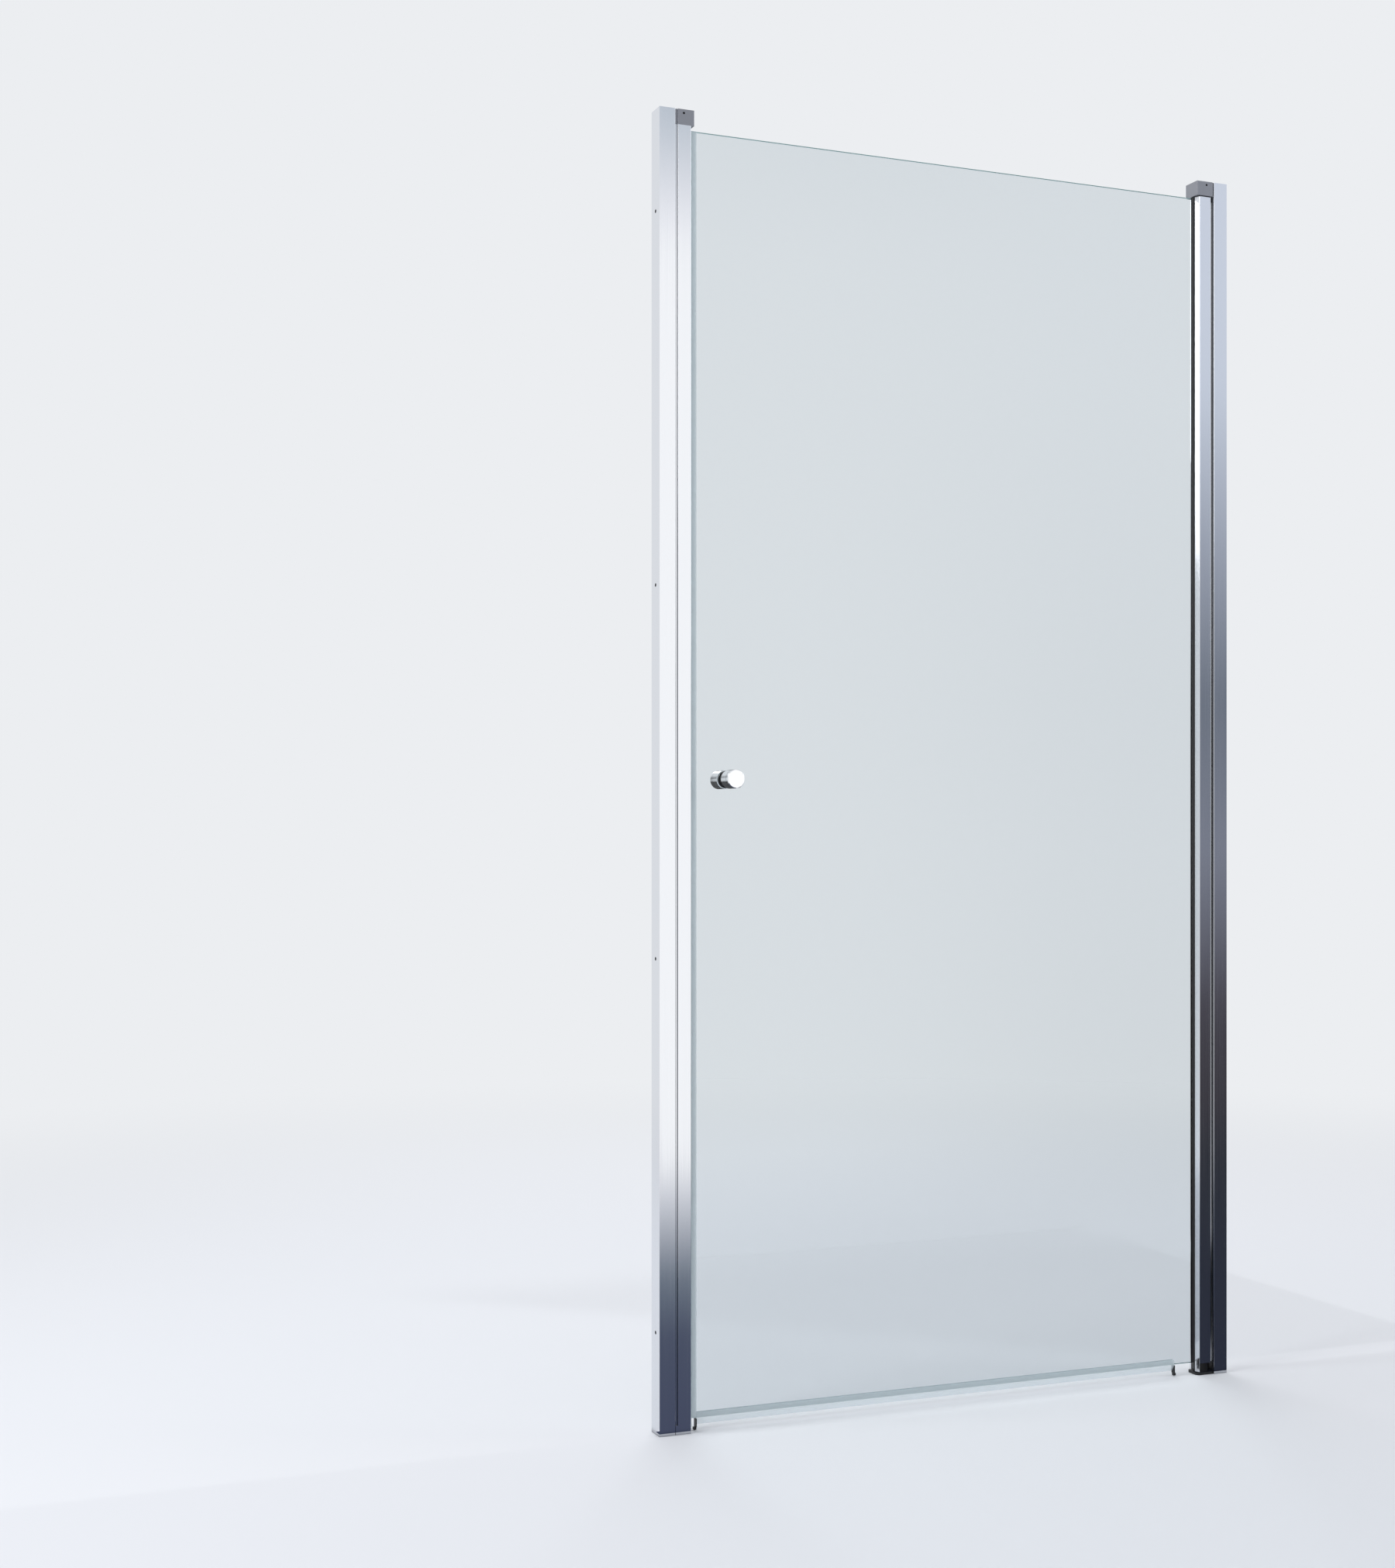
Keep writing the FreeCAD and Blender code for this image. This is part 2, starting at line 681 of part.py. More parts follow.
# ---------------------------------------------------------------- magnet seals
def magnet_room(left):
    """The pocket of a magnet strip whose seal starts at left."""
    room = (left + seal_wall, left + seal_wall + magnet_thickness + 2 * magnet_clearance)
    return block(room, both(magnet_width / 2 + magnet_clearance), (seal_bottom, glass_top))


def magnet_strip(left):
    x = left + seal_wall + magnet_clearance
    return block((x, x + magnet_thickness), both(magnet_width / 2), (glass_bottom, glass_top))


def seal_head_depth():
    return magnet_thickness + 2 * (seal_wall + magnet_clearance)


def seal_head_half():
    return magnet_width / 2 + magnet_clearance + seal_wall


def strike_magnet_seal():
    """Slides into the strike head; a fin on the shower side is the closed stop."""
    span = (glass_bottom, glass_top)
    right = strike_face + seal_head_depth()
    slot_left = strike_face - profile_wall
    foot = block((slot_left - seal_foot_depth, slot_left - seal_side_play), both(seal_foot_half), span)
    neck = block((slot_left - seal_foot_play, strike_face), both(seal_slot_half - seal_side_play), span)
    head = block((strike_face, right), both(seal_head_half()), (seal_bottom, glass_top))
    fin_start = seal_head_half() + stop_fin_gap
    fin = block((strike_face, right + stop_fin_reach), (fin_start, fin_start + stop_fin_thickness), span)
    root = block((strike_face, right), (0, fin_start + stop_fin_thickness), span)
    shape = foot.fuse([neck, head, root, fin]).removeSplitter()
    return shape.cut(magnet_room(strike_face))


def strike_magnet_strip():
    return magnet_strip(strike_face)


def door_seal_left():
    return strike_face + seal_head_depth() + seal_gap


def door_magnet_seal():
    """Clips over the glass edge and carries the door's magnet strip."""
    left = door_seal_left()
    head = block((left, glass_left), both(seal_head_half()), (seal_bottom, glass_top))
    arm_span = (glass_bottom, glass_top)
    arm = block((left, glass_left + seal_arm_reach), (glass_half, glass_half + seal_arm_thickness), arm_span)
    shape = head.fuse([arm, flipped(arm)]).removeSplitter()
    return shape.cut(magnet_room(left))


def door_magnet_strip():
    return magnet_strip(door_seal_left())


# ---------------------------------------------------------------- drip seal under the glass
def drip_span():
    return glass_left + drip_start_from_edge, stile_left - drip_end_from_stile


def drip_seal():
    """Clear clip on the bottom of the glass with a fin that turns water back."""
    left, right = drip_span()
    outer = glass_half + seal_arm_thickness
    base = glass_bottom - drip_base
    outline = [
        (-outer, base), (-outer, glass_bottom + drip_arm_height), (-glass_half, glass_bottom + drip_arm_height),
        (-glass_half, glass_bottom), (glass_half, glass_bottom),
        (glass_half, glass_bottom + drip_arm_height), (outer, glass_bottom + drip_arm_height), (outer, base),
        (-outer + drip_fin_thickness + drip_fin_inset, base),
        (-outer + drip_fin_slope + drip_fin_thickness, base - drip_fin_drop),
        (-outer + drip_fin_slope, base - drip_fin_drop),
    ]
    return lengthwise(outline, left, right)


def drip_seal_end_stops():
    """Small black mouldings on both ends of the drip seal, with a foot almost on the tray."""
    left, right = drip_span()
    outer = glass_half + seal_arm_thickness
    base = glass_bottom - drip_base
    solids = []
    for inner, direction in ((left, -1), (right, 1)):
        foot_top = end_stop_bottom + end_stop_foot_height
        x = sorted((inner, inner + direction * end_stop_length))
        body = block(x, both(outer), (foot_top, base))
        foot_x = sorted((inner, inner + direction * end_stop_foot_length))
        foot = block(foot_x, both(end_stop_foot_half), (end_stop_bottom, foot_top))
        solids.append(body.fuse(foot).removeSplitter())
    return group(solids)


# ---------------------------------------------------------------- knob
def knob_half():
    """The outer knob: a grooved round bar with a slimmer neck that stands on the washer."""
    foot = -glass_half - knob_washer_thickness
    back = knob_back()
    front = back - knob_length
    neck = rod(knob_neck_radius, (knob_x, foot, knob_height), (knob_x, back, knob_height))
    bar = rod(knob_radius, (knob_x, back, knob_height), (knob_x, front, knob_height))
    bar = bar.makeChamfer(knob_chamfer, [round_edge_at(bar, back), round_edge_at(bar, front)])
    groove_y = front + knob_groove_from_front
    ends = ((knob_x, groove_y, knob_height), (knob_x, groove_y + knob_groove_width, knob_height))
    bar = bar.cut(tube(knob_radius + overcut, knob_radius - knob_groove_depth, *ends))
    shape = neck.fuse(bar).removeSplitter()
    shape = shape.cut(rod(stud_radius + stud_clearance, (knob_x, foot, knob_height),
                          (knob_x, -glass_half - stud_grip - overcut, knob_height)))
    return shape.cut(set_screw_room())


def knob_back():
    return -glass_half - knob_washer_thickness - knob_neck_length


def round_edge_at(shape, y):
    """The full circle of a turned piece that lies at y."""
    return [e for e in shape.Edges if len(e.Vertexes) == 1 and abs(e.BoundBox.YMin - y) < 1e-4
            and abs(e.BoundBox.YMax - y) < 1e-4][0]


def set_screw_room():
    y = knob_back() - set_screw_from_back
    return rod(set_screw_radius, (knob_x, y, knob_height - knob_radius - overcut), (knob_x, y, knob_height))


def knob_set_screws():
    y = knob_back() - set_screw_from_back
    top = knob_height - stud_radius - set_screw_tip_gap
    bottom = top - set_screw_length
    screw = rod(set_screw_radius, (knob_x, y, bottom), (knob_x, y, top))
    socket = rod(set_screw_radius / 2, (knob_x, y, bottom), (knob_x, y, bottom + set_screw_socket_depth))
    screw = screw.cut(socket)
    return group([screw, flipped(screw)])


def knob_stud():
    reach = glass_half + stud_grip
    return rod(stud_radius, (knob_x, -reach, knob_height), (knob_x, reach, knob_height))


def knob_sleeve():
    """Keeps the stud off the glass."""
    return tube(knob_hole_radius - sleeve_clearance, stud_radius + stud_clearance,
                (knob_x, -glass_half, knob_height), (knob_x, glass_half, knob_height))


def knob_washers():
    washer = tube(knob_washer_radius, stud_radius + stud_clearance, (knob_x, -glass_half, knob_height),
                  (knob_x, -glass_half - knob_washer_thickness, knob_height))
    return group([washer, flipped(washer)])


# ---------------------------------------------------------------- write one file for each piece
pieces = {
    "strike_wall_channel": wall_channel(),
    "strike_clamp_screws": clamp_screws(),
    "strike_clamp_nuts": clamp_nuts(),
    "hinge_wall_channel": mirrored(wall_channel()),
    "hinge_clamp_screws": mirrored(clamp_screws()),
    "hinge_clamp_nuts": mirrored(clamp_nuts()),
    "strike_adjusting_profile": strike_adjusting_profile(),
    "strike_top_cap": strike_top_cap(),
    "strike_bottom_cap": strike_bottom_cap(),
    "strike_magnet_seal": strike_magnet_seal(),
    "strike_magnet_strip": strike_magnet_strip(),
    "hinge_adjusting_profile": hinge_adjusting_profile(),
    "outer_brush_seal": outer_brush_seal(),
    "inner_brush_seal": flipped(outer_brush_seal()),
    "upper_pivot_block": upper_pivot_block(),
    "upper_pivot_bush": upper_pivot_bush(),
    "lower_pivot_block": lower_pivot_block(),
    "lower_pivot_pin": lower_pivot_pin(),
    "thrust_washer": thrust_washer(),
    "cap_lock_screws": cap_lock_screws(),
    "end_screws": end_screws(),
    "door_stile": door_stile(),
    "stile_top_plug": stile_top_plug(),
    "stile_bottom_plug": stile_bottom_plug(),
    "plug_screws": plug_screws(),
    "upper_pivot_pin": upper_pivot_pin(),
    "lower_pivot_bush": lower_pivot_bush(),
    "glass_pane": glass_pane(),
    "glass_edge_packers": glass_edge_packers(),
    "outer_glazing_gasket": flipped(inner_glazing_gasket()),
    "inner_glazing_gasket": inner_glazing_gasket(),
    "door_magnet_seal": door_magnet_seal(),
    "door_magnet_strip": door_magnet_strip(),
    "drip_seal": drip_seal(),
    "drip_seal_end_stops": drip_seal_end_stops(),
    "knob_outer": knob_half(),
    "knob_inner": flipped(knob_half()),
    "knob_stud": knob_stud(),
    "knob_sleeve": knob_sleeve(),
    "knob_washers": knob_washers(),
    "knob_set_screws": knob_set_screws(),
}

os.makedirs("parts", exist_ok=True)
for name, shape in pieces.items():
    shape.exportStep(f"parts/{name}.step")
    box = shape.BoundBox
    print(f"{name}: {len(shape.Solids)} solid(s), valid {shape.isValid()}, {shape.Volume:.0f} mm3, "
          f"X {box.XMin:.1f}..{box.XMax:.1f}  Y {box.YMin:.1f}..{box.YMax:.1f}  Z {box.ZMin:.1f}..{box.ZMax:.1f}")
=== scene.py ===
# %% [markdown]
# # A pivot shower door, dressed for the camera
#
# The real door is one sheet of 6 mm toughened glass. On the hinge side a slim metal stile holds it and turns
# on two pins, and on the strike side a magnet seal holds it shut. The CAD model already has every piece at
# its true size and place, so this lesson only gives the pieces their finishes, makes the two brush seals
# bristle by bristle, and sets up the camera and a small studio round them.

# %% Load the frame
import json
import math
import bpy
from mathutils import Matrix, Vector


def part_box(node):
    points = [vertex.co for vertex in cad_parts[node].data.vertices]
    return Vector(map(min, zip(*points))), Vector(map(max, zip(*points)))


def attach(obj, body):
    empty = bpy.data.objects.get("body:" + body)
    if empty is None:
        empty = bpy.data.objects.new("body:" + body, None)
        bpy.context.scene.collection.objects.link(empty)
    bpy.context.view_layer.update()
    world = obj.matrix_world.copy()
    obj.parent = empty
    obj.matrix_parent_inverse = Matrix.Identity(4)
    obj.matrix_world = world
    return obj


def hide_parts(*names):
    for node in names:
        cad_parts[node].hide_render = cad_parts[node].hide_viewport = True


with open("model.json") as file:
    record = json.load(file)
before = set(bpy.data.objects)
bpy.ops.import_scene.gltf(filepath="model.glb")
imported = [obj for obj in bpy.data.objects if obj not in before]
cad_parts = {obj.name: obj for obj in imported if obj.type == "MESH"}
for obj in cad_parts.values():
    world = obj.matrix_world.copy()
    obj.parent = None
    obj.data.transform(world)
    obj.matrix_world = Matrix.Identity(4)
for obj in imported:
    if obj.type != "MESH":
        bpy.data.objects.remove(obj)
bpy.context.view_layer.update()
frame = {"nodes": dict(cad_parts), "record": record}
nodes = frame["nodes"]

# %% [markdown]
# ## Units, colours and nodes
#
# Blender works in metres and a maker thinks in millimetres, so one small constant turns one into the other.
# A colour given here is an sRGB hex value, but a shader works with linear light, so one function turns
# the first into the second. Finishes and Geometry Nodes are both node trees, so the same short function
# adds a node to either, with its settings and its links in one line.

# %% Small helpers
MM = 0.001


def linear(hex_colour):
    """Linear RGBA from an sRGB hex colour such as '#e6e8eb'."""
    parts = [int(hex_colour[i:i + 2], 16) / 255 for i in (1, 3, 5)]
    light = [c / 12.92 if c <= 0.04045 else ((c + 0.055) / 1.055) ** 2.4 for c in parts]
    return (*light, 1.0)


def add_node(tree, kind, settings=None, links=None):
    """A node with its inputs or properties set by name, and its inputs linked from other nodes' outputs."""
    node = tree.nodes.new(kind)
    for key, value in (settings or {}).items():
        if isinstance(key, int) or key in node.inputs:
            node.inputs[key].default_value = value
        else:
            setattr(node, key, value)
    for key, socket in (links or {}).items():
        tree.links.new(socket, node.inputs[key])
    return node


def start_finish(name, settings):
    """A new material whose Principled shader has these plain settings."""
    finish = bpy.data.materials.new(name)
    finish.use_nodes = True
    shader = finish.node_tree.nodes["Principled BSDF"]
    for key, value in settings.items():
        shader.inputs[key].default_value = value
    return finish, finish.node_tree, shader


def dress(slot, finish):
    """Give a finish to every CAD node that the record puts in this material slot."""
    dressed = [p["node"] for p in frame["record"]["subparts"] if p["material_slot"] == slot]
    for name in dressed:
        nodes[name].material_slots[0].material = finish
    print(finish.name, "on", ", ".join(dressed))


def painted_recess_shade(tree, open_colour, deep_colour, reach, deep, clear):
    """Painted shade: a colour for open faces that turns into a darker one down in grooves and corners."""
    nearby = add_node(tree, "ShaderNodeAmbientOcclusion", {"samples": 8, "Distance": reach})
    share = add_node(tree, "ShaderNodeMapRange", {"From Min": deep, "From Max": clear},
                     {"Value": nearby.outputs["AO"]})
    tone = add_node(tree, "ShaderNodeMix",
                    {"data_type": "RGBA", "A": linear(deep_colour), "B": linear(open_colour)},
                    {"Factor": share.outputs["Result"]})
    return tone.outputs[2]


print("white in linear light:", linear("#ffffff")[:3])

# %% [markdown]
# ## The camera
#
# The photograph was taken from the left of the door, about chest height, with a level camera. Its place was
# worked out beforehand by fitting the ends of both jambs, the knob and the glass edges to the picture. The
# horizon lies a little below the middle of the picture, and a real photographer gets that by shifting the
# lens, so the camera stays level, upright lines stay upright, and shift_y does the rest.

# %% Camera
camera_place = Vector((-1.660, -2.966, 0.881))
camera_heading = math.radians(22.47)      # turned from straight ahead towards the hinge side
picture_height = 2023                     # pixels of the 1800 x 2023 picture
focal_pixels = 2792
sensor_mm = 36.0
horizon_row = 1078.3

lens = bpy.data.cameras.new("picture_camera")
lens.sensor_fit = "VERTICAL"
lens.sensor_height = sensor_mm
lens.lens = focal_pixels / picture_height * sensor_mm
lens.shift_y = (horizon_row - picture_height / 2) / picture_height
camera = bpy.data.objects.new("picture_camera", lens)
camera.location = camera_place
camera.rotation_euler = (math.radians(90), 0, -camera_heading)
bpy.context.scene.collection.objects.link(camera)
bpy.context.scene.camera = camera
print("lens", round(lens.lens, 2), "mm, shift", round(lens.shift_y, 4))

# %% [markdown]
# ## Bright aluminium
#
# The upright profiles are extruded aluminium, polished and then anodised bright. The metal comes through a
# steel die, which leaves faint lines along it, and polishing softens them without taking them away. So the
# reflection is nearly a mirror's from a few steps away and slightly streaked along the profile. One noise
# texture is stretched along Z for the lines, and it moves both the roughness and a very low bump. The real
# lines are about 0.1 mm apart; they are drawn 1.2 mm apart so that they show at all.
#
# The base colour is painted shade in grooves and corners: Ambient Occlusion measures how shut in a point is,
# and the shut-in places are painted a greyer, darker tone that stands in for the shade that falls there.

# %% Bright aluminium
bright_aluminium, tree, shader = start_finish("polished_anodised_aluminium", {"Metallic": 1.0})
groove_reach = 12 * MM
# Painted shade: Ambient Occlusion turns the base colour greyer and darker in grooves and corners.
metal_tone = painted_recess_shade(tree, "#e6e8ec", "#6b6e75", groove_reach, deep=0.35, clear=0.9)
tree.links.new(metal_tone, shader.inputs["Base Color"])
die_line = 1.2 * MM
streak_length = 260 * MM
place = add_node(tree, "ShaderNodeTexCoord")
stretch = add_node(tree, "ShaderNodeMapping", {"Scale": (1 / die_line, 1 / die_line, 1 / streak_length)},
                   {"Vector": place.outputs["Object"]})
lines = add_node(tree, "ShaderNodeTexNoise", {"Scale": 1.0, "Detail": 3.0, "Roughness": 0.6},
                 {"Vector": stretch.outputs["Vector"]})
gloss = add_node(tree, "ShaderNodeMapRange",
                 {"From Min": 0.3, "From Max": 0.7, "To Min": 0.07, "To Max": 0.15},
                 {"Value": lines.outputs["Fac"]})
ridges = add_node(tree, "ShaderNodeBump", {"Strength": 0.12, "Distance": 0.02 * MM},
                  {"Height": lines.outputs["Fac"]})
tree.links.new(gloss.outputs["Result"], shader.inputs["Roughness"])
tree.links.new(ridges.outputs["Normal"], shader.inputs["Normal"])
dress("bright_aluminium", bright_aluminium)

# %% [markdown]
# ## Chrome plate
#
# The knobs are turned brass with bright chrome plate. Chrome is a cool, nearly perfect mirror, so almost all
# of its look is what it mirrors. The turned metal under it is never quite flat, and a large, very low noise
# bump bends the reflections a little. A finer noise stands for the wipe marks that a hand leaves. The foot of
# the narrow groove in the head and other tight recesses get painted shade: their base colour goes nearly
# black.

# %% Chrome plate
chrome_plate, tree, shader = start_finish("chrome_plated_brass", {"Metallic": 1.0})
chrome_shade_reach = 1.5 * MM
# Painted shade: Ambient Occlusion turns the base colour nearly black in the head's groove and tight corners.
plate_tone = painted_recess_shade(tree, "#f2f3f5", "#17181b", chrome_shade_reach, deep=0.45, clear=0.7)
tree.links.new(plate_tone, shader.inputs["Base Color"])
plate_wave = 9 * MM
wipe_mark = 2.5 * MM
place = add_node(tree, "ShaderNodeTexCoord")
waves = add_node(tree, "ShaderNodeTexNoise", {"Scale": 1 / plate_wave, "Detail": 1.0},
                 {"Vector": place.outputs["Object"]})
marks = add_node(tree, "ShaderNodeTexNoise", {"Scale": 1 / wipe_mark, "Detail": 4.0},
                 {"Vector": place.outputs["Object"]})
gloss = add_node(tree, "ShaderNodeMapRange",
                 {"From Min": 0.35, "From Max": 0.75, "To Min": 0.02, "To Max": 0.08},
                 {"Value": marks.outputs["Fac"]})
plating = add_node(tree, "ShaderNodeBump", {"Strength": 0.1, "Distance": 0.1 * MM},
                   {"Height": waves.outputs["Fac"]})
tree.links.new(gloss.outputs["Result"], shader.inputs["Roughness"])
tree.links.new(plating.outputs["Normal"], shader.inputs["Normal"])
dress("chrome", chrome_plate)

# %% [markdown]
# ## Steel screws and pins
#
# Screws, pins and the knob stud are plain stainless steel, cold formed and tumbled. That leaves an even,
# soft shine with fine pits, so the roughness is higher than the polished metal's and varies over half a
# millimetre. The two little screws in the top caps are blackened steel: the same metal work under a dark
# oxide skin that mirrors far less.

# %% Steel screws and pins
tumble_pit = 0.5 * MM
steels = [
    # slot, finish name, colour, metallic, lowest and highest roughness
    ("stainless_steel", "tumbled_stainless_steel", "#b9babd", 1.0, 0.22, 0.42),
    ("blackened_steel", "black_oxide_steel", "#1a1b1d", 0.6, 0.34, 0.52),
]
for slot, name, colour, metallic, smooth, rough in steels:
    finish, tree, shader = start_finish(name, {"Base Color": linear(colour), "Metallic": metallic})
    place = add_node(tree, "ShaderNodeTexCoord")
    pits = add_node(tree, "ShaderNodeTexNoise", {"Scale": 1 / tumble_pit, "Detail": 3.0},
                    {"Vector": place.outputs["Object"]})
    gloss = add_node(tree, "ShaderNodeMapRange",
                     {"From Min": 0.3, "From Max": 0.7, "To Min": smooth, "To Max": rough},
                     {"Value": pits.outputs["Fac"]})
    dents = add_node(tree, "ShaderNodeBump", {"Strength": 0.25, "Distance": 0.04 * MM},
                     {"Height": pits.outputs["Fac"]})
    tree.links.new(gloss.outputs["Result"], shader.inputs["Roughness"])
    tree.links.new(dents.outputs["Normal"], shader.inputs["Normal"])
    dress(slot, finish)

# %% [markdown]
# ## Moulded plastics
#
# The caps on the jambs are ABS, moulded in grey with a little aluminium flake so that they sit beside the
# metal without standing out. The lower pivot block and the seal's end stops are glass-filled nylon, which is
# black and duller, because the fibres break the surface. Both come out of spark-eroded steel moulds, and
# that gives the same fine orange-peel grain, drawn here 0.8 mm wide. One loop makes both from a small table.

# %% Moulded plastics
mould_grain = 0.8 * MM
mouldings = [
    # slot, finish name, colour, darker colour, metallic flake, roughness, grain strength
    ("grey_moulding", "moulded_abs_silver_grey", "#8e9097", "#83858d", 0.35, 0.34, 0.2),
    ("black_moulding", "moulded_nylon_black", "#131418", "#0b0c0e", 0.0, 0.46, 0.35),
    ("white_acetal", "machined_acetal_white", "#e9e8e2", "#dddcd5", 0.0, 0.38, 0.1),
]
for slot, name, pale, dark, flake, roughness, grain in mouldings:
    finish, tree, shader = start_finish(name, {"Metallic": flake, "Roughness": roughness})
    place = add_node(tree, "ShaderNodeTexCoord")
    peel = add_node(tree, "ShaderNodeTexNoise", {"Scale": 1 / mould_grain, "Detail": 2.0},
                    {"Vector": place.outputs["Object"]})
    tone = add_node(tree, "ShaderNodeMix",
                    {"data_type": "RGBA", "A": linear(dark), "B": linear(pale)},
                    {"Factor": peel.outputs["Fac"]})
    skin = add_node(tree, "ShaderNodeBump", {"Strength": grain, "Distance": 0.05 * MM},
                    {"Height": peel.outputs["Fac"]})
    tree.links.new(tone.outputs[2], shader.inputs["Base Color"])
    tree.links.new(skin.outputs["Normal"], shader.inputs["Normal"])
    dress(slot, finish)

# %% [markdown]
# ## Rubber and magnet strip
#
# The glazing gasket and the washers are extruded EPDM rubber: black, satin, with faint lines along the
# length and a slight grey bloom that rubber gets with age. The magnet strips are ferrite powder in a
# flexible binder with a pale coat, so they look like fine, dull card inside the clear seals.

# %% Rubber and magnet strip
rubber, tree, shader = start_finish("extruded_epdm_rubber", {"Roughness": 0.5})
rubber_line = 0.9 * MM
rubber_streak = 60 * MM
place = add_node(tree, "ShaderNodeTexCoord")
stretch = add_node(tree, "ShaderNodeMapping",
                   {"Scale": (1 / rubber_line, 1 / rubber_line, 1 / rubber_streak)},
                   {"Vector": place.outputs["Object"]})
lines = add_node(tree, "ShaderNodeTexNoise", {"Scale": 1.0, "Detail": 2.0},
                 {"Vector": stretch.outputs["Vector"]})
bloom = add_node(tree, "ShaderNodeMix",
                 {"data_type": "RGBA", "A": linear("#0c0c0e"), "B": linear("#1c1d20")},
                 {"Factor": lines.outputs["Fac"]})
skin = add_node(tree, "ShaderNodeBump", {"Strength": 0.3, "Distance": 0.05 * MM},
                {"Height": lines.outputs["Fac"]})
tree.links.new(bloom.outputs[2], shader.inputs["Base Color"])
tree.links.new(skin.outputs["Normal"], shader.inputs["Normal"])
dress("black_rubber", rubber)

ferrite, tree, shader = start_finish("coated_ferrite_strip", {"Roughness": 0.6})
powder_grain = 0.6 * MM
place = add_node(tree, "ShaderNodeTexCoord")
powder = add_node(tree, "ShaderNodeTexNoise", {"Scale": 1 / powder_grain, "Detail": 3.0},
                  {"Vector": place.outputs["Object"]})
coat = add_node(tree, "ShaderNodeMix",
                {"data_type": "RGBA", "A": linear("#dae7ed"), "B": linear("#e9f2f6")},
                {"Factor": powder.outputs["Fac"]})
tree.links.new(coat.outputs[2], shader.inputs["Base Color"])
dress("ferrite_strip", ferrite)

# %% [markdown]
# ## Clear seals
#
# The magnet seals and the drip seal are extruded clear PVC with walls under half a millimetre. Glass with
# refraction would be the first idea, but light then has to cross ten or more of those thin walls, and Cycles
# gives up and returns black. Such a wall hardly bends light at all, so the finish is a thin film instead:
# Alpha lets most of the light straight through, and the rest is the pale blue haze and the soft highlight
# that the plastic really shows. The coil it was stored on leaves it a little wavy, which is the bump.

# %% Clear seals
clear_pvc, tree, shader = start_finish("extruded_clear_pvc", {
    "Base Color": linear("#e9f4f8"), "Roughness": 0.16, "IOR": 1.53, "Alpha": 0.42,
})
coil_wave = 14 * MM
place = add_node(tree, "ShaderNodeTexCoord")
waves = add_node(tree, "ShaderNodeTexNoise", {"Scale": 1 / coil_wave, "Detail": 2.0},
                 {"Vector": place.outputs["Object"]})
ripple = add_node(tree, "ShaderNodeBump", {"Strength": 0.15, "Distance": 0.2 * MM},
                  {"Height": waves.outputs["Fac"]})
tree.links.new(ripple.outputs["Normal"], shader.inputs["Normal"])
dress("clear_pvc", clear_pvc)

# %% [markdown]
# ## Toughened glass
#
# Float glass holds a trace of iron. Looked through face on it is nearly clear, with a faint cool tint, but
# light that leaves by a polished edge has travelled a long way inside, so the edges look teal. That could be
# done with absorption in the volume, which needs many bounces to settle. Here the shader simply asks how
# near a point is to the sheet's border, in the piece's own coordinates, so it stays right when the door
# swings, and gives the last half millimetre the deep colour.

# %% Toughened glass
toughened_glass, tree, shader = start_finish("toughened_float_glass", {
    "Roughness": 0.0, "IOR": 1.52, "Transmission Weight": 1.0,
})
glass_low, glass_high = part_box("glass_pane")
glass_middle = (glass_low + glass_high) / 2
glass_half = (glass_high - glass_low) / 2
edge_arris = 0.55 * MM
place = add_node(tree, "ShaderNodeTexCoord")
centred = add_node(tree, "ShaderNodeVectorMath", {"operation": "SUBTRACT", 1: glass_middle},
                   {0: place.outputs["Object"]})
distance = add_node(tree, "ShaderNodeVectorMath", {"operation": "ABSOLUTE"}, {0: centred.outputs["Vector"]})
border = add_node(tree, "ShaderNodeVectorMath",
                  {"operation": "SUBTRACT", 1: glass_half - Vector((edge_arris, 0, edge_arris))},
                  {0: distance.outputs["Vector"]})
parts = add_node(tree, "ShaderNodeSeparateXYZ", None, {0: border.outputs["Vector"]})
nearest = add_node(tree, "ShaderNodeMath", {"operation": "MAXIMUM"},
                   {0: parts.outputs["X"], 1: parts.outputs["Z"]})
on_edge = add_node(tree, "ShaderNodeMath", {"operation": "GREATER_THAN", 1: 0.0}, {0: nearest.outputs[0]})
tint = add_node(tree, "ShaderNodeMix",
                {"data_type": "RGBA", "A": linear("#e6ebed"), "B": linear("#5f9698")},
                {"Factor": on_edge.outputs[0]})
tree.links.new(tint.outputs[2], shader.inputs["Base Color"])
rays = add_node(tree, "ShaderNodeLightPath")
passing = add_node(tree, "ShaderNodeBsdfTransparent", {"Color": linear("#eef3f4")})
share = add_node(tree, "ShaderNodeMixShader", None, {
    "Fac": rays.outputs["Is Shadow Ray"], 1: shader.outputs["BSDF"], 2: passing.outputs["BSDF"],
})
tree.links.new(share.outputs["Shader"], tree.nodes["Material Output"].inputs["Surface"])
dress("toughened_glass", toughened_glass)

# %% [markdown]
# ## Brush seals, bristle by bristle
#
# Beside the stile, towards each face of the door, a strip of pile lies in the round hollow of the hinge
# profile and stops the draught. The real strip is a woven backing with thousands of short dark fibres. The
# CAD model has a plain strip in its place, so this is the one spot where new geometry replaces a CAD node.
#
# Thousands of equal things on a regular pattern are a job for Geometry Nodes: a flat grid gives one point for
# each tuft, Set Position bends the grid into the hollow, and Instance on Points plants a tuft on each point
# with a small random lean. The backing is a box bent in the same way. The real fibres are under 0.1 mm
# thick, so each tuft here stands for a bundle of them.

# %% Finishes of the brush
pile_fibre, tree, shader = start_finish("polypropylene_pile", {"Roughness": 0.75, "Sheen Weight": 0.3})
fibre_bundle = 3 * MM
place = add_node(tree, "ShaderNodeTexCoord")
bundles = add_node(tree, "ShaderNodeTexNoise", {"Scale": 1 / fibre_bundle, "Detail": 3.0},
                   {"Vector": place.outputs["Object"]})
fibre_tone = add_node(tree, "ShaderNodeMix",
                      {"data_type": "RGBA", "A": linear("#141518"), "B": linear("#3a3b40")},
                      {"Factor": bundles.outputs["Fac"]})
tree.links.new(fibre_tone.outputs[2], shader.inputs["Base Color"])

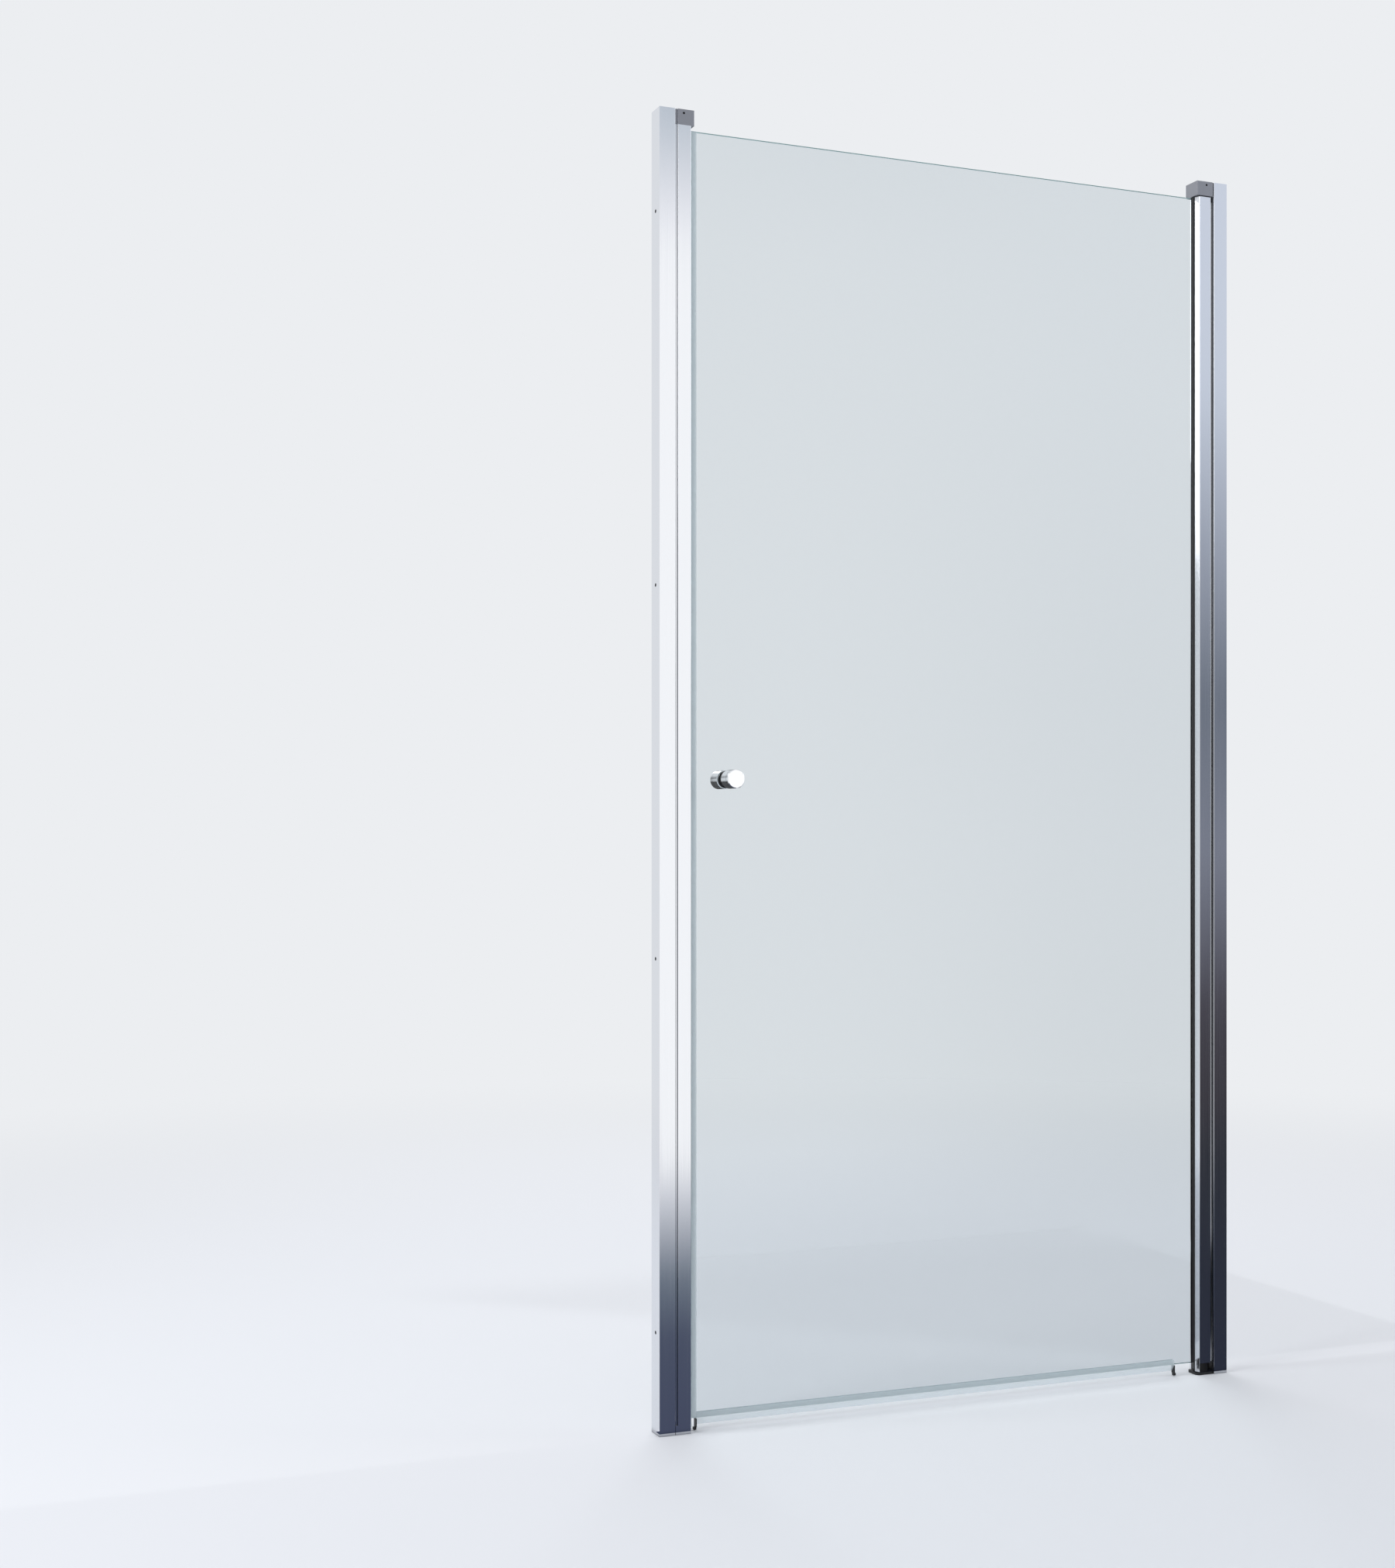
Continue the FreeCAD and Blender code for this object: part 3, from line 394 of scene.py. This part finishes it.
woven_backing, tree, shader = start_finish("woven_pile_backing", {"Roughness": 0.85})
weave_pitch = 1.0 * MM
wave_length = 0.314                       # a Wave texture of scale 1 repeats over this length
place = add_node(tree, "ShaderNodeTexCoord")
weave = add_node(tree, "ShaderNodeTexWave", {
    "wave_type": "BANDS", "bands_direction": "Z", "Scale": wave_length / weave_pitch, "Distortion": 1.0,
}, {"Vector": place.outputs["Object"]})
backing_tone = add_node(tree, "ShaderNodeMix",
                        {"data_type": "RGBA", "A": linear("#0c0c0e"), "B": linear("#242529")},
                        {"Factor": weave.outputs["Fac"]})
tree.links.new(backing_tone.outputs[2], shader.inputs["Base Color"])
print("brush finishes:", pile_fibre.name, woven_backing.name)

# %% The brush's tree
brush_tree = bpy.data.node_groups.new("brush_seal", "GeometryNodeTree")
brush_sizes = ["Axis X", "Tip radius", "Root radius", "Backing radius", "Start angle", "End angle", "Bottom",
               "Top", "Tuft radius", "Lean"]
brush_counts = ["Rows", "Tufts in a row", "Seed"]
brush_tree.interface.new_socket("Geometry", in_out="INPUT", socket_type="NodeSocketGeometry")
brush_tree.interface.new_socket("Geometry", in_out="OUTPUT", socket_type="NodeSocketGeometry")
brush_inputs = {}
for kind, names in (("NodeSocketFloat", brush_sizes), ("NodeSocketInt", brush_counts)):
    for name in names:
        socket = brush_tree.interface.new_socket(name, in_out="INPUT", socket_type=kind)
        brush_inputs[name] = socket.identifier
size = add_node(brush_tree, "NodeGroupInput").outputs
print("brush inputs:", ", ".join(brush_inputs))

# %% [markdown]
# Both the tufts and the backing have to be bent into the hollow, so that step is one function. It reads a
# unit shape's X as the angle, its Y as the radius and its Z as the height; the flat grid has no thickness,
# so there Y is the height. The radius runs from the outside in, which keeps the box the right way out.

# %% Bend a unit shape into the hollow
def bend_into_hollow(geometry, outer, inner, upright_axis):
    """Set Position that wraps a unit shape round the pivot axis, between two radii."""
    where = add_node(brush_tree, "GeometryNodeInputPosition")
    split = add_node(brush_tree, "ShaderNodeSeparateXYZ", None, {0: where.outputs["Position"]})
    unit = {"From Min": -0.5, "From Max": 0.5}
    angle = add_node(brush_tree, "ShaderNodeMapRange", unit, {
        "Value": split.outputs["X"], "To Min": size["Start angle"], "To Max": size["End angle"]})
    radius = add_node(brush_tree, "ShaderNodeMapRange", unit, {
        "Value": split.outputs["Y"], "To Min": outer, "To Max": inner})
    height = add_node(brush_tree, "ShaderNodeMapRange", unit, {
        "Value": split.outputs[upright_axis], "To Min": size["Bottom"], "To Max": size["Top"]})
    cosine = add_node(brush_tree, "ShaderNodeMath", {"operation": "COSINE"}, {0: angle.outputs["Result"]})
    sine = add_node(brush_tree, "ShaderNodeMath", {"operation": "SINE"}, {0: angle.outputs["Result"]})
    outward = add_node(brush_tree, "ShaderNodeCombineXYZ", None,
                       {"X": cosine.outputs[0], "Y": sine.outputs[0]})
    reach = add_node(brush_tree, "ShaderNodeVectorMath", {"operation": "SCALE"},
                     {0: outward.outputs["Vector"], "Scale": radius.outputs["Result"]})
    centre = add_node(brush_tree, "ShaderNodeCombineXYZ", None,
                      {"X": size["Axis X"], "Z": height.outputs["Result"]})
    target = add_node(brush_tree, "ShaderNodeVectorMath", {"operation": "ADD"},
                      {0: reach.outputs["Vector"], 1: centre.outputs["Vector"]})
    bent = add_node(brush_tree, "GeometryNodeSetPosition", None,
                    {"Geometry": geometry, "Position": target.outputs["Vector"]})
    return bent.outputs["Geometry"]


# %% [markdown]
# The tufts come next. A tuft is a thin four-sided cone, because thousands of them have to stay light. Its
# lean is a random vector added to the direction towards the pivot axis, and its length varies a little. Both
# random values take the Seed input, so the brush is the same on every run.

# %% Plant the tufts
shortest_tuft, longest_tuft = 0.75, 0.95     # shares of the pile's depth
grid = add_node(brush_tree, "GeometryNodeMeshGrid", {"Size X": 1.0, "Size Y": 1.0},
                {"Vertices X": size["Rows"], "Vertices Y": size["Tufts in a row"]})
seats = bend_into_hollow(grid.outputs["Mesh"], size["Root radius"], size["Root radius"], "Y")
where = add_node(brush_tree, "GeometryNodeInputPosition")
flat = add_node(brush_tree, "ShaderNodeVectorMath", {"operation": "MULTIPLY", 1: (-1.0, -1.0, 0.0)},
                {0: where.outputs["Position"]})
axis_point = add_node(brush_tree, "ShaderNodeCombineXYZ", None, {"X": size["Axis X"]})
inward = add_node(brush_tree, "ShaderNodeVectorMath", {"operation": "ADD"},
                  {0: flat.outputs["Vector"], 1: axis_point.outputs["Vector"]})
straight = add_node(brush_tree, "ShaderNodeVectorMath", {"operation": "NORMALIZE"},
                    {0: inward.outputs["Vector"]})
sway = add_node(brush_tree, "FunctionNodeRandomValue",
                {"data_type": "FLOAT_VECTOR", 0: (-1.0, -1.0, -1.0), 1: (1.0, 1.0, 1.0)},
                {"Seed": size["Seed"]})
leaning = add_node(brush_tree, "ShaderNodeVectorMath", {"operation": "SCALE"},
                   {0: sway.outputs["Value"], "Scale": size["Lean"]})
direction = add_node(brush_tree, "ShaderNodeVectorMath", {"operation": "ADD"},
                     {0: straight.outputs["Vector"], 1: leaning.outputs["Vector"]})
turn = add_node(brush_tree, "FunctionNodeAlignRotationToVector", {"axis": "Z"},
                {"Vector": direction.outputs["Vector"]})
tuft_length = add_node(brush_tree, "ShaderNodeMath", {"operation": "SUBTRACT"},
                       {0: size["Root radius"], 1: size["Tip radius"]})
tuft = add_node(brush_tree, "GeometryNodeMeshCone", {"Vertices": 4, "Radius Top": 0.0},
                {"Radius Bottom": size["Tuft radius"], "Depth": tuft_length.outputs[0]})
uneven = add_node(brush_tree, "FunctionNodeRandomValue",
                  {"data_type": "FLOAT", 2: shortest_tuft, 3: longest_tuft}, {"Seed": size["Seed"]})
planted = add_node(brush_tree, "GeometryNodeInstanceOnPoints", None, {
    "Points": seats, "Instance": tuft.outputs["Mesh"],
    "Rotation": turn.outputs["Rotation"], "Scale": uneven.outputs[1],
})
fibres = add_node(brush_tree, "GeometryNodeRealizeInstances", None, {0: planted.outputs["Instances"]})
fibres = add_node(brush_tree, "GeometryNodeSetMaterial", {"Material": pile_fibre}, {0: fibres.outputs[0]})
print("tuft nodes so far:", len(brush_tree.nodes))

# %% Bend the backing and join it
arc_steps = 7
length_steps = 60
strip = add_node(brush_tree, "GeometryNodeMeshCube", {
    "Size": (1.0, 1.0, 1.0), "Vertices X": arc_steps, "Vertices Y": 2, "Vertices Z": length_steps,
})
backing = bend_into_hollow(strip.outputs["Mesh"], size["Backing radius"], size["Root radius"], "Z")
backing = add_node(brush_tree, "GeometryNodeSetMaterial", {"Material": woven_backing}, {0: backing})
joined = add_node(brush_tree, "GeometryNodeJoinGeometry")
for part in (fibres, backing):
    brush_tree.links.new(part.outputs[0], joined.inputs[0])
add_node(brush_tree, "NodeGroupOutput", None, {0: joined.outputs[0]})
print("brush tree nodes:", len(brush_tree.nodes))

# %% [markdown]
# A modifier carries the tree on a carrier object, and its inputs are set by each socket's identifier before
# the object is first evaluated. The result is then read back as a plain mesh, because only plain meshes are
# exported. The ends come from the box of the CAD strip that the brush replaces, and the radii and angles are
# the CAD model's, so the brush fills the space that the CAD model keeps for it.

# %% Make the two brushes
pivot_x = 460.5 * MM
hollow_radius = 18.94 * MM
pile_above_wall = 0.2 * MM
backing_below_wall = 0.7 * MM
backing_thickness = 0.35 * MM
narrow_angle = math.radians(24)
wide_angle = math.radians(41)
tuft_pitch = 1.2 * MM
tuft_rows = 6
tuft_radius = 0.42 * MM
tuft_lean = 0.3
brush_seed = 5


def drop_empty_slots(mesh):
    """Set Material leaves the empty slot of each primitive in place, so the list is made again without it."""
    kept = [finish for finish in mesh.materials if finish]
    places = [kept.index(finish) if finish else 0 for finish in mesh.materials]
    numbers = [places[face.material_index] for face in mesh.polygons]
    mesh.materials.clear()
    for finish in kept:
        mesh.materials.append(finish)
    mesh.polygons.foreach_set("material_index", numbers)


def make_brush(name, node, start_angle, end_angle):
    """One brush seal as a plain mesh object that stands for its CAD node."""
    low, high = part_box(node)
    carrier = bpy.data.objects.new(name, bpy.data.meshes.new(name))
    bpy.context.scene.collection.objects.link(carrier)
    modifier = carrier.modifiers.new("brush", "NODES")
    modifier.node_group = brush_tree
    outer = hollow_radius + backing_below_wall
    values = {
        "Axis X": pivot_x, "Tip radius": hollow_radius - pile_above_wall,
        "Root radius": outer - backing_thickness, "Backing radius": outer,
        "Start angle": start_angle, "End angle": end_angle, "Bottom": low.z, "Top": high.z,
        "Rows": tuft_rows, "Tufts in a row": round((high.z - low.z) / tuft_pitch),
        "Tuft radius": tuft_radius, "Lean": tuft_lean, "Seed": brush_seed,
    }
    for label, value in values.items():
        modifier[brush_inputs[label]] = value
    bpy.context.view_layer.update()
    evaluated = carrier.evaluated_get(bpy.context.evaluated_depsgraph_get())
    mesh = bpy.data.meshes.new_from_object(evaluated)
    carrier.modifiers.remove(modifier)
    drop_empty_slots(mesh)
    carrier.data = mesh
    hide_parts(node)
    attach(carrier, "jamb")
    print(name, len(mesh.polygons), "faces, materials", [m.name for m in mesh.materials])


make_brush("outer_brush", "outer_brush_seal", -wide_angle, -narrow_angle)
make_brush("inner_brush", "inner_brush_seal", narrow_angle, wide_angle)

# %% [markdown]
# ## The studio
#
# The studio is a pale floor under a pale, even sky. The floor is a wide sheet that takes the door's shadow
# near the middle and fades to the sky's own colour further out, so there is no horizon line. The sky has two
# strengths: what the camera, mirrors and glass see is the pale background, and what lights the object is a
# plain soft white. Light Path tells the two apart.

# %% Sky
backdrop_colour = linear("#eceef1")
sky_light = 0.62
sky = bpy.data.worlds.new("studio_sky")
sky.use_nodes = True
bpy.context.scene.world = sky
tree = sky.node_tree
rays = add_node(tree, "ShaderNodeLightPath")
camera_or_gloss = add_node(tree, "ShaderNodeMath", {"operation": "MAXIMUM"},
                           {0: rays.outputs["Is Camera Ray"], 1: rays.outputs["Is Glossy Ray"]})
seen = add_node(tree, "ShaderNodeMath", {"operation": "MAXIMUM"},
                {0: camera_or_gloss.outputs[0], 1: rays.outputs["Is Transmission Ray"]})
light = add_node(tree, "ShaderNodeBackground", {"Color": linear("#f8faff"), "Strength": sky_light})
backdrop = add_node(tree, "ShaderNodeBackground", {"Color": backdrop_colour, "Strength": 1.0})
share = add_node(tree, "ShaderNodeMixShader", None,
                 {"Fac": seen.outputs[0], 1: light.outputs[0], 2: backdrop.outputs[0]})
tree.links.new(share.outputs[0], tree.nodes["World Output"].inputs["Surface"])
print("sky ready")


# %% Floor
def flat_sheet(name, corners, finish):
    """A flat stage piece with these corners."""
    mesh = bpy.data.meshes.new(name)
    mesh.from_pydata(corners, [], [range(len(corners))])
    mesh.materials.append(finish)
    sheet = bpy.data.objects.new(name, mesh)
    bpy.context.scene.collection.objects.link(sheet)
    return sheet


floor_half = 20.0
fade_start, fade_end = 1.2, 4.5
floor_paint, tree, shader = start_finish("pale_studio_floor", {
    "Base Color": linear("#e4e6ea"), "Roughness": 0.8,
})
place = add_node(tree, "ShaderNodeTexCoord")
away = add_node(tree, "ShaderNodeVectorMath", {"operation": "LENGTH"}, {0: place.outputs["Object"]})
fade = add_node(tree, "ShaderNodeMapRange",
                {"interpolation_type": "SMOOTHSTEP", "From Min": fade_start, "From Max": fade_end},
                {"Value": away.outputs["Value"]})
far_floor = add_node(tree, "ShaderNodeEmission", {"Color": backdrop_colour, "Strength": 1.0})
share = add_node(tree, "ShaderNodeMixShader", None,
                 {"Fac": fade.outputs["Result"], 1: shader.outputs["BSDF"], 2: far_floor.outputs[0]})
tree.links.new(share.outputs[0], tree.nodes["Material Output"].inputs["Surface"])
flat_sheet("studio_floor", [
    (-floor_half, -floor_half, 0), (floor_half, -floor_half, 0),
    (floor_half, floor_half, 0), (-floor_half, floor_half, 0),
], floor_paint)
print("floor", 2 * floor_half, "m wide")

# %% [markdown]
# ## Reflection cards
#
# Polished metal shows what is round it. In an all-white studio it would look like white paint, so product
# photographers hold cards where the metal mirrors them. In the picture the strike jamb is pale down to a dark
# slate colour near its foot, and the hinge jamb is darker all the way. Two cards, one standing and one on the
# floor, do the same here. Only mirror rays see them: they light nothing, cast no shadow and are invisible to
# the camera. The floor card has a shallow notch in front of the glass, so the foot of the glass and its seal
# stay pale, as in the picture.
#
# Each card has one ramp of tones for its strike side and one for its hinge side. To mix them without an edge,
# the shader asks where on the door the camera would see this point of the card mirrored. A flat mirror shows
# things as if from a second camera as far behind it, so that place is where the line from the second camera
# to the card crosses the door's plane.

# %% Card helpers
card_glow = 1.12
seen_from = camera_place.x
seen_behind = -camera_place.y
strike_only_to, hinge_only_from = -0.34, 0.42


def tone_ramp(tree, value, start, end, tones):
    """Colour Ramp that takes a value through (place, colour) pairs between start and end."""
    along = add_node(tree, "ShaderNodeMapRange", {"From Min": start, "From Max": end}, {"Value": value})
    ramp = add_node(tree, "ShaderNodeValToRGB", None, {"Fac": along.outputs["Result"]})
    stops = ramp.color_ramp.elements
    while len(stops) < len(tones):
        stops.new(0.5)
    for stop, (where, colour) in zip(stops, tones):
        stop.position = (where - start) / (end - start)
        stop.color = linear(colour)
    return ramp.outputs["Color"]


def card_finish(name, axis, start, end, strike_tones, hinge_tones):
    """Emission with tones along one axis that pass from the strike side's to the hinge side's."""
    finish = bpy.data.materials.new(name)
    finish.use_nodes = True
    tree = finish.node_tree
    tree.nodes.remove(tree.nodes["Principled BSDF"])
    place = add_node(tree, "ShaderNodeTexCoord")
    split = add_node(tree, "ShaderNodeSeparateXYZ", None, {0: place.outputs["Object"]})
    across = add_node(tree, "ShaderNodeMath", {"operation": "SUBTRACT", 1: seen_from},
                      {0: split.outputs["X"]})
    depth = add_node(tree, "ShaderNodeMath", {"operation": "SUBTRACT", 0: seen_behind},
                     {1: split.outputs["Y"]})
    slope = add_node(tree, "ShaderNodeMath", {"operation": "DIVIDE"},
                     {0: across.outputs[0], 1: depth.outputs[0]})
    on_door = add_node(tree, "ShaderNodeMath",
                       {"operation": "MULTIPLY_ADD", 1: seen_behind, 2: seen_from}, {0: slope.outputs[0]})
    share = add_node(tree, "ShaderNodeMapRange", {
        "interpolation_type": "SMOOTHSTEP", "From Min": strike_only_to, "From Max": hinge_only_from,
    }, {"Value": on_door.outputs[0]})
    tone = add_node(tree, "ShaderNodeMix", {"data_type": "RGBA"}, {
        "Factor": share.outputs["Result"],
        "A": tone_ramp(tree, split.outputs[axis], start, end, strike_tones),
        "B": tone_ramp(tree, split.outputs[axis], start, end, hinge_tones),
    })
    glow = add_node(tree, "ShaderNodeEmission", {"Strength": card_glow}, {"Color": tone.outputs[2]})
    tree.links.new(glow.outputs[0], tree.nodes["Material Output"].inputs["Surface"])
    return finish


def reflection_card(name, corners, finish):
    """A stage sheet that only glossy rays can see."""
    card = flat_sheet(name, corners, finish)
    card.visible_camera = False
    card.visible_diffuse = False
    card.visible_transmission = False
    card.visible_volume_scatter = False
    card.visible_shadow = False
    return card


# %% Two cards
card_lift = 4 * MM
card_left, card_right = -1.6, 4.6
card_far = -3.0
card_top = 4.0
floor_tones = card_finish("floor_card_tones", "Y", 0.0, card_far, [
    (0.0, "#474d62"), (-0.6, "#4c5366"), (-1.07, "#6c7683"), (-1.9, "#cfd1d8"), (-2.5, "#ffffff"),
], [
    (0.0, "#2c303d"), (-1.9, "#2d3038"), (card_far, "#3a383e"),
])
room_tones = card_finish("room_card_tones", "Z", 0.0, card_top, [
    (0.0, "#ffffff"), (2.62, "#ffffff"), (2.72, "#f2f2f6"), (2.84, "#dfe1e6"), (2.97, "#c8cfd7"),
    (3.05, "#bdc5ce"), (card_top, "#b4bcc6"),
], [
    (0.0, "#3a383e"), (0.32, "#444149"), (0.83, "#7d818e"), (1.34, "#6b727e"), (1.84, "#9fa5b2"),
    (2.35, "#cdd4e0"), (card_top, "#d8dde8"),
])
notch_left, notch_right, notch_near = -0.42, 0.445, -0.06
reflection_card("floor_card", [
    (card_left, 0, card_lift), (notch_left, 0, card_lift), (notch_left, notch_near, card_lift),
    (notch_right, notch_near, card_lift), (notch_right, 0, card_lift), (card_right, 0, card_lift),
    (card_right, card_far, card_lift), (card_left, card_far, card_lift),
], floor_tones)
reflection_card("room_card", [
    (card_left, card_far, 0), (card_right, card_far, 0), (card_right, card_far, card_top),
    (card_left, card_far, card_top),
], room_tones)
print("reflection cards placed")

# %% [markdown]
# The sides of the round knobs mirror what is behind the glass, and in the picture that is dark: it gives the
# chrome its black bands, and the gap beside the stile its shade. Cards behind the door, one standing and one
# on the floor, would also darken the view through the glass. So their shader counts how a ray got there, one
# for each mirroring and one if it passed through glass, and a ray with too small a count finds the card
# clear. The standing card asks for two, so the outer face of the glass doesn't mirror it. Each card also
# fades out towards the borders that mirrors show, so that none shows a hard edge.

# %% The dark cards behind
night_away, night_top, night_left, night_right = 1.2, 1.45, -0.93, 1.0
line_near, line_far = Vector((0.42, 0.06, 0)), Vector((-0.82, night_away, 0))
line_normal = Vector((line_far.y - line_near.y, line_near.x - line_far.x, 0)).normalized()
line_place = line_normal.dot(line_near)
left_fade, top_fade, line_fade, far_fade = 0.09, 0.4, 0.12, 0.3
rightward, backward, upward = Vector((1, 0, 0)), Vector((0, 1, 0)), Vector((0, 0, 1))


def night_finish(name, least_count, fades):
    """Dark only for rays with this count, and only inside the fades (direction, clear place, dark place)."""
    finish = bpy.data.materials.new(name)
    finish.use_nodes = True
    tree = finish.node_tree
    tree.nodes.remove(tree.nodes["Principled BSDF"])
    rays = add_node(tree, "ShaderNodeLightPath")
    passed = add_node(tree, "ShaderNodeMath", {"operation": "MINIMUM", 1: 1.0},
                      {0: rays.outputs["Transmission Depth"]})
    count = add_node(tree, "ShaderNodeMath", {"operation": "ADD"},
                     {0: passed.outputs[0], 1: rays.outputs["Glossy Depth"]})
    mirrored = add_node(tree, "ShaderNodeMath", {"operation": "GREATER_THAN", 1: 0.5},
                        {0: rays.outputs["Glossy Depth"]})
    enough = add_node(tree, "ShaderNodeMath", {"operation": "GREATER_THAN", 1: least_count - 0.5},
                      {0: count.outputs[0]})
    amount = add_node(tree, "ShaderNodeMath", {"operation": "MULTIPLY"},
                      {0: mirrored.outputs[0], 1: enough.outputs[0]})
    place = add_node(tree, "ShaderNodeTexCoord")
    for direction, clear_place, dark_place in fades:
        along = add_node(tree, "ShaderNodeVectorMath", {"operation": "DOT_PRODUCT", 1: direction},
                         {0: place.outputs["Object"]})
        fade = add_node(tree, "ShaderNodeMapRange",
                        {"interpolation_type": "SMOOTHSTEP", "From Min": clear_place, "From Max": dark_place},
                        {"Value": along.outputs["Value"]})
        amount = add_node(tree, "ShaderNodeMath", {"operation": "MULTIPLY"},
                          {0: amount.outputs[0], 1: fade.outputs["Result"]})
    clear = add_node(tree, "ShaderNodeBsdfTransparent")
    dark = add_node(tree, "ShaderNodeEmission", {"Color": linear("#14181c"), "Strength": 1.0})
    share = add_node(tree, "ShaderNodeMixShader", None,
                     {"Fac": amount.outputs[0], 1: clear.outputs[0], 2: dark.outputs[0]})
    tree.links.new(share.outputs[0], tree.nodes["Material Output"].inputs["Surface"])
    return finish


night_wall = reflection_card("night_wall_card", [
    (night_left, night_away, 0), (night_right, night_away, 0),
    (night_right, night_away, night_top), (night_left, night_away, night_top),
], night_finish("night_wall_tones", 2, [
    (rightward, night_left, night_left + left_fade), (upward, night_top, night_top - top_fade),
]))
night_floor = reflection_card("night_floor_card", [
    (line_near.x, line_near.y, card_lift), (night_right, line_near.y, card_lift),
    (night_right, night_away, card_lift), (line_far.x, night_away, card_lift),
], night_finish("night_floor_tones", 1, [
    (line_normal, line_place, line_place + line_fade), (backward, night_away, night_away - far_fade),
]))
for card in (night_wall, night_floor):
    card.visible_transmission = True
print("dark cards behind the door up to", night_away, "m")

# %% [markdown]
# ## Lamps
#
# Large area lamps model the forms softly: a key lamp well round to the strike side, so that side faces come
# out brighter than fronts, a weaker fill on the hinge side and one behind for the light through the glass.
# Together with the sky they add up to about one, the level at which a colour renders about as it is written.
# Large lamps close to the object give soft shadow edges.

# %% Lamps
def soft_lamp(name, place, aim, side, power):
    """A square area lamp that looks at a point."""
    lamp = bpy.data.lights.new(name, "AREA")
    lamp.shape = "SQUARE"
    lamp.size = side
    lamp.energy = power
    holder = bpy.data.objects.new(name, lamp)
    holder.location = place
    holder.rotation_euler = (Vector(aim) - Vector(place)).to_track_quat("-Z", "Y").to_euler()
    holder.visible_camera = False
    holder.visible_transmission = False
    bpy.context.scene.collection.objects.link(holder)
    print(name, power, "W")


door_middle = (0.0, 0.0, 0.95)
soft_lamp("key_softbox", (-3.6, -0.3, 2.9), door_middle, 2.2, 80)
soft_lamp("fill_softbox", (3.4, -0.9, 2.4), door_middle, 2.0, 30)
soft_lamp("back_softbox", (0.8, 3.4, 3.2), door_middle, 2.4, 45)

# %% [markdown]
# ## Colour
#
# Standard shows each colour as it is, without a film look.

# %% Finish
bpy.context.scene.view_settings.view_transform = "Standard"
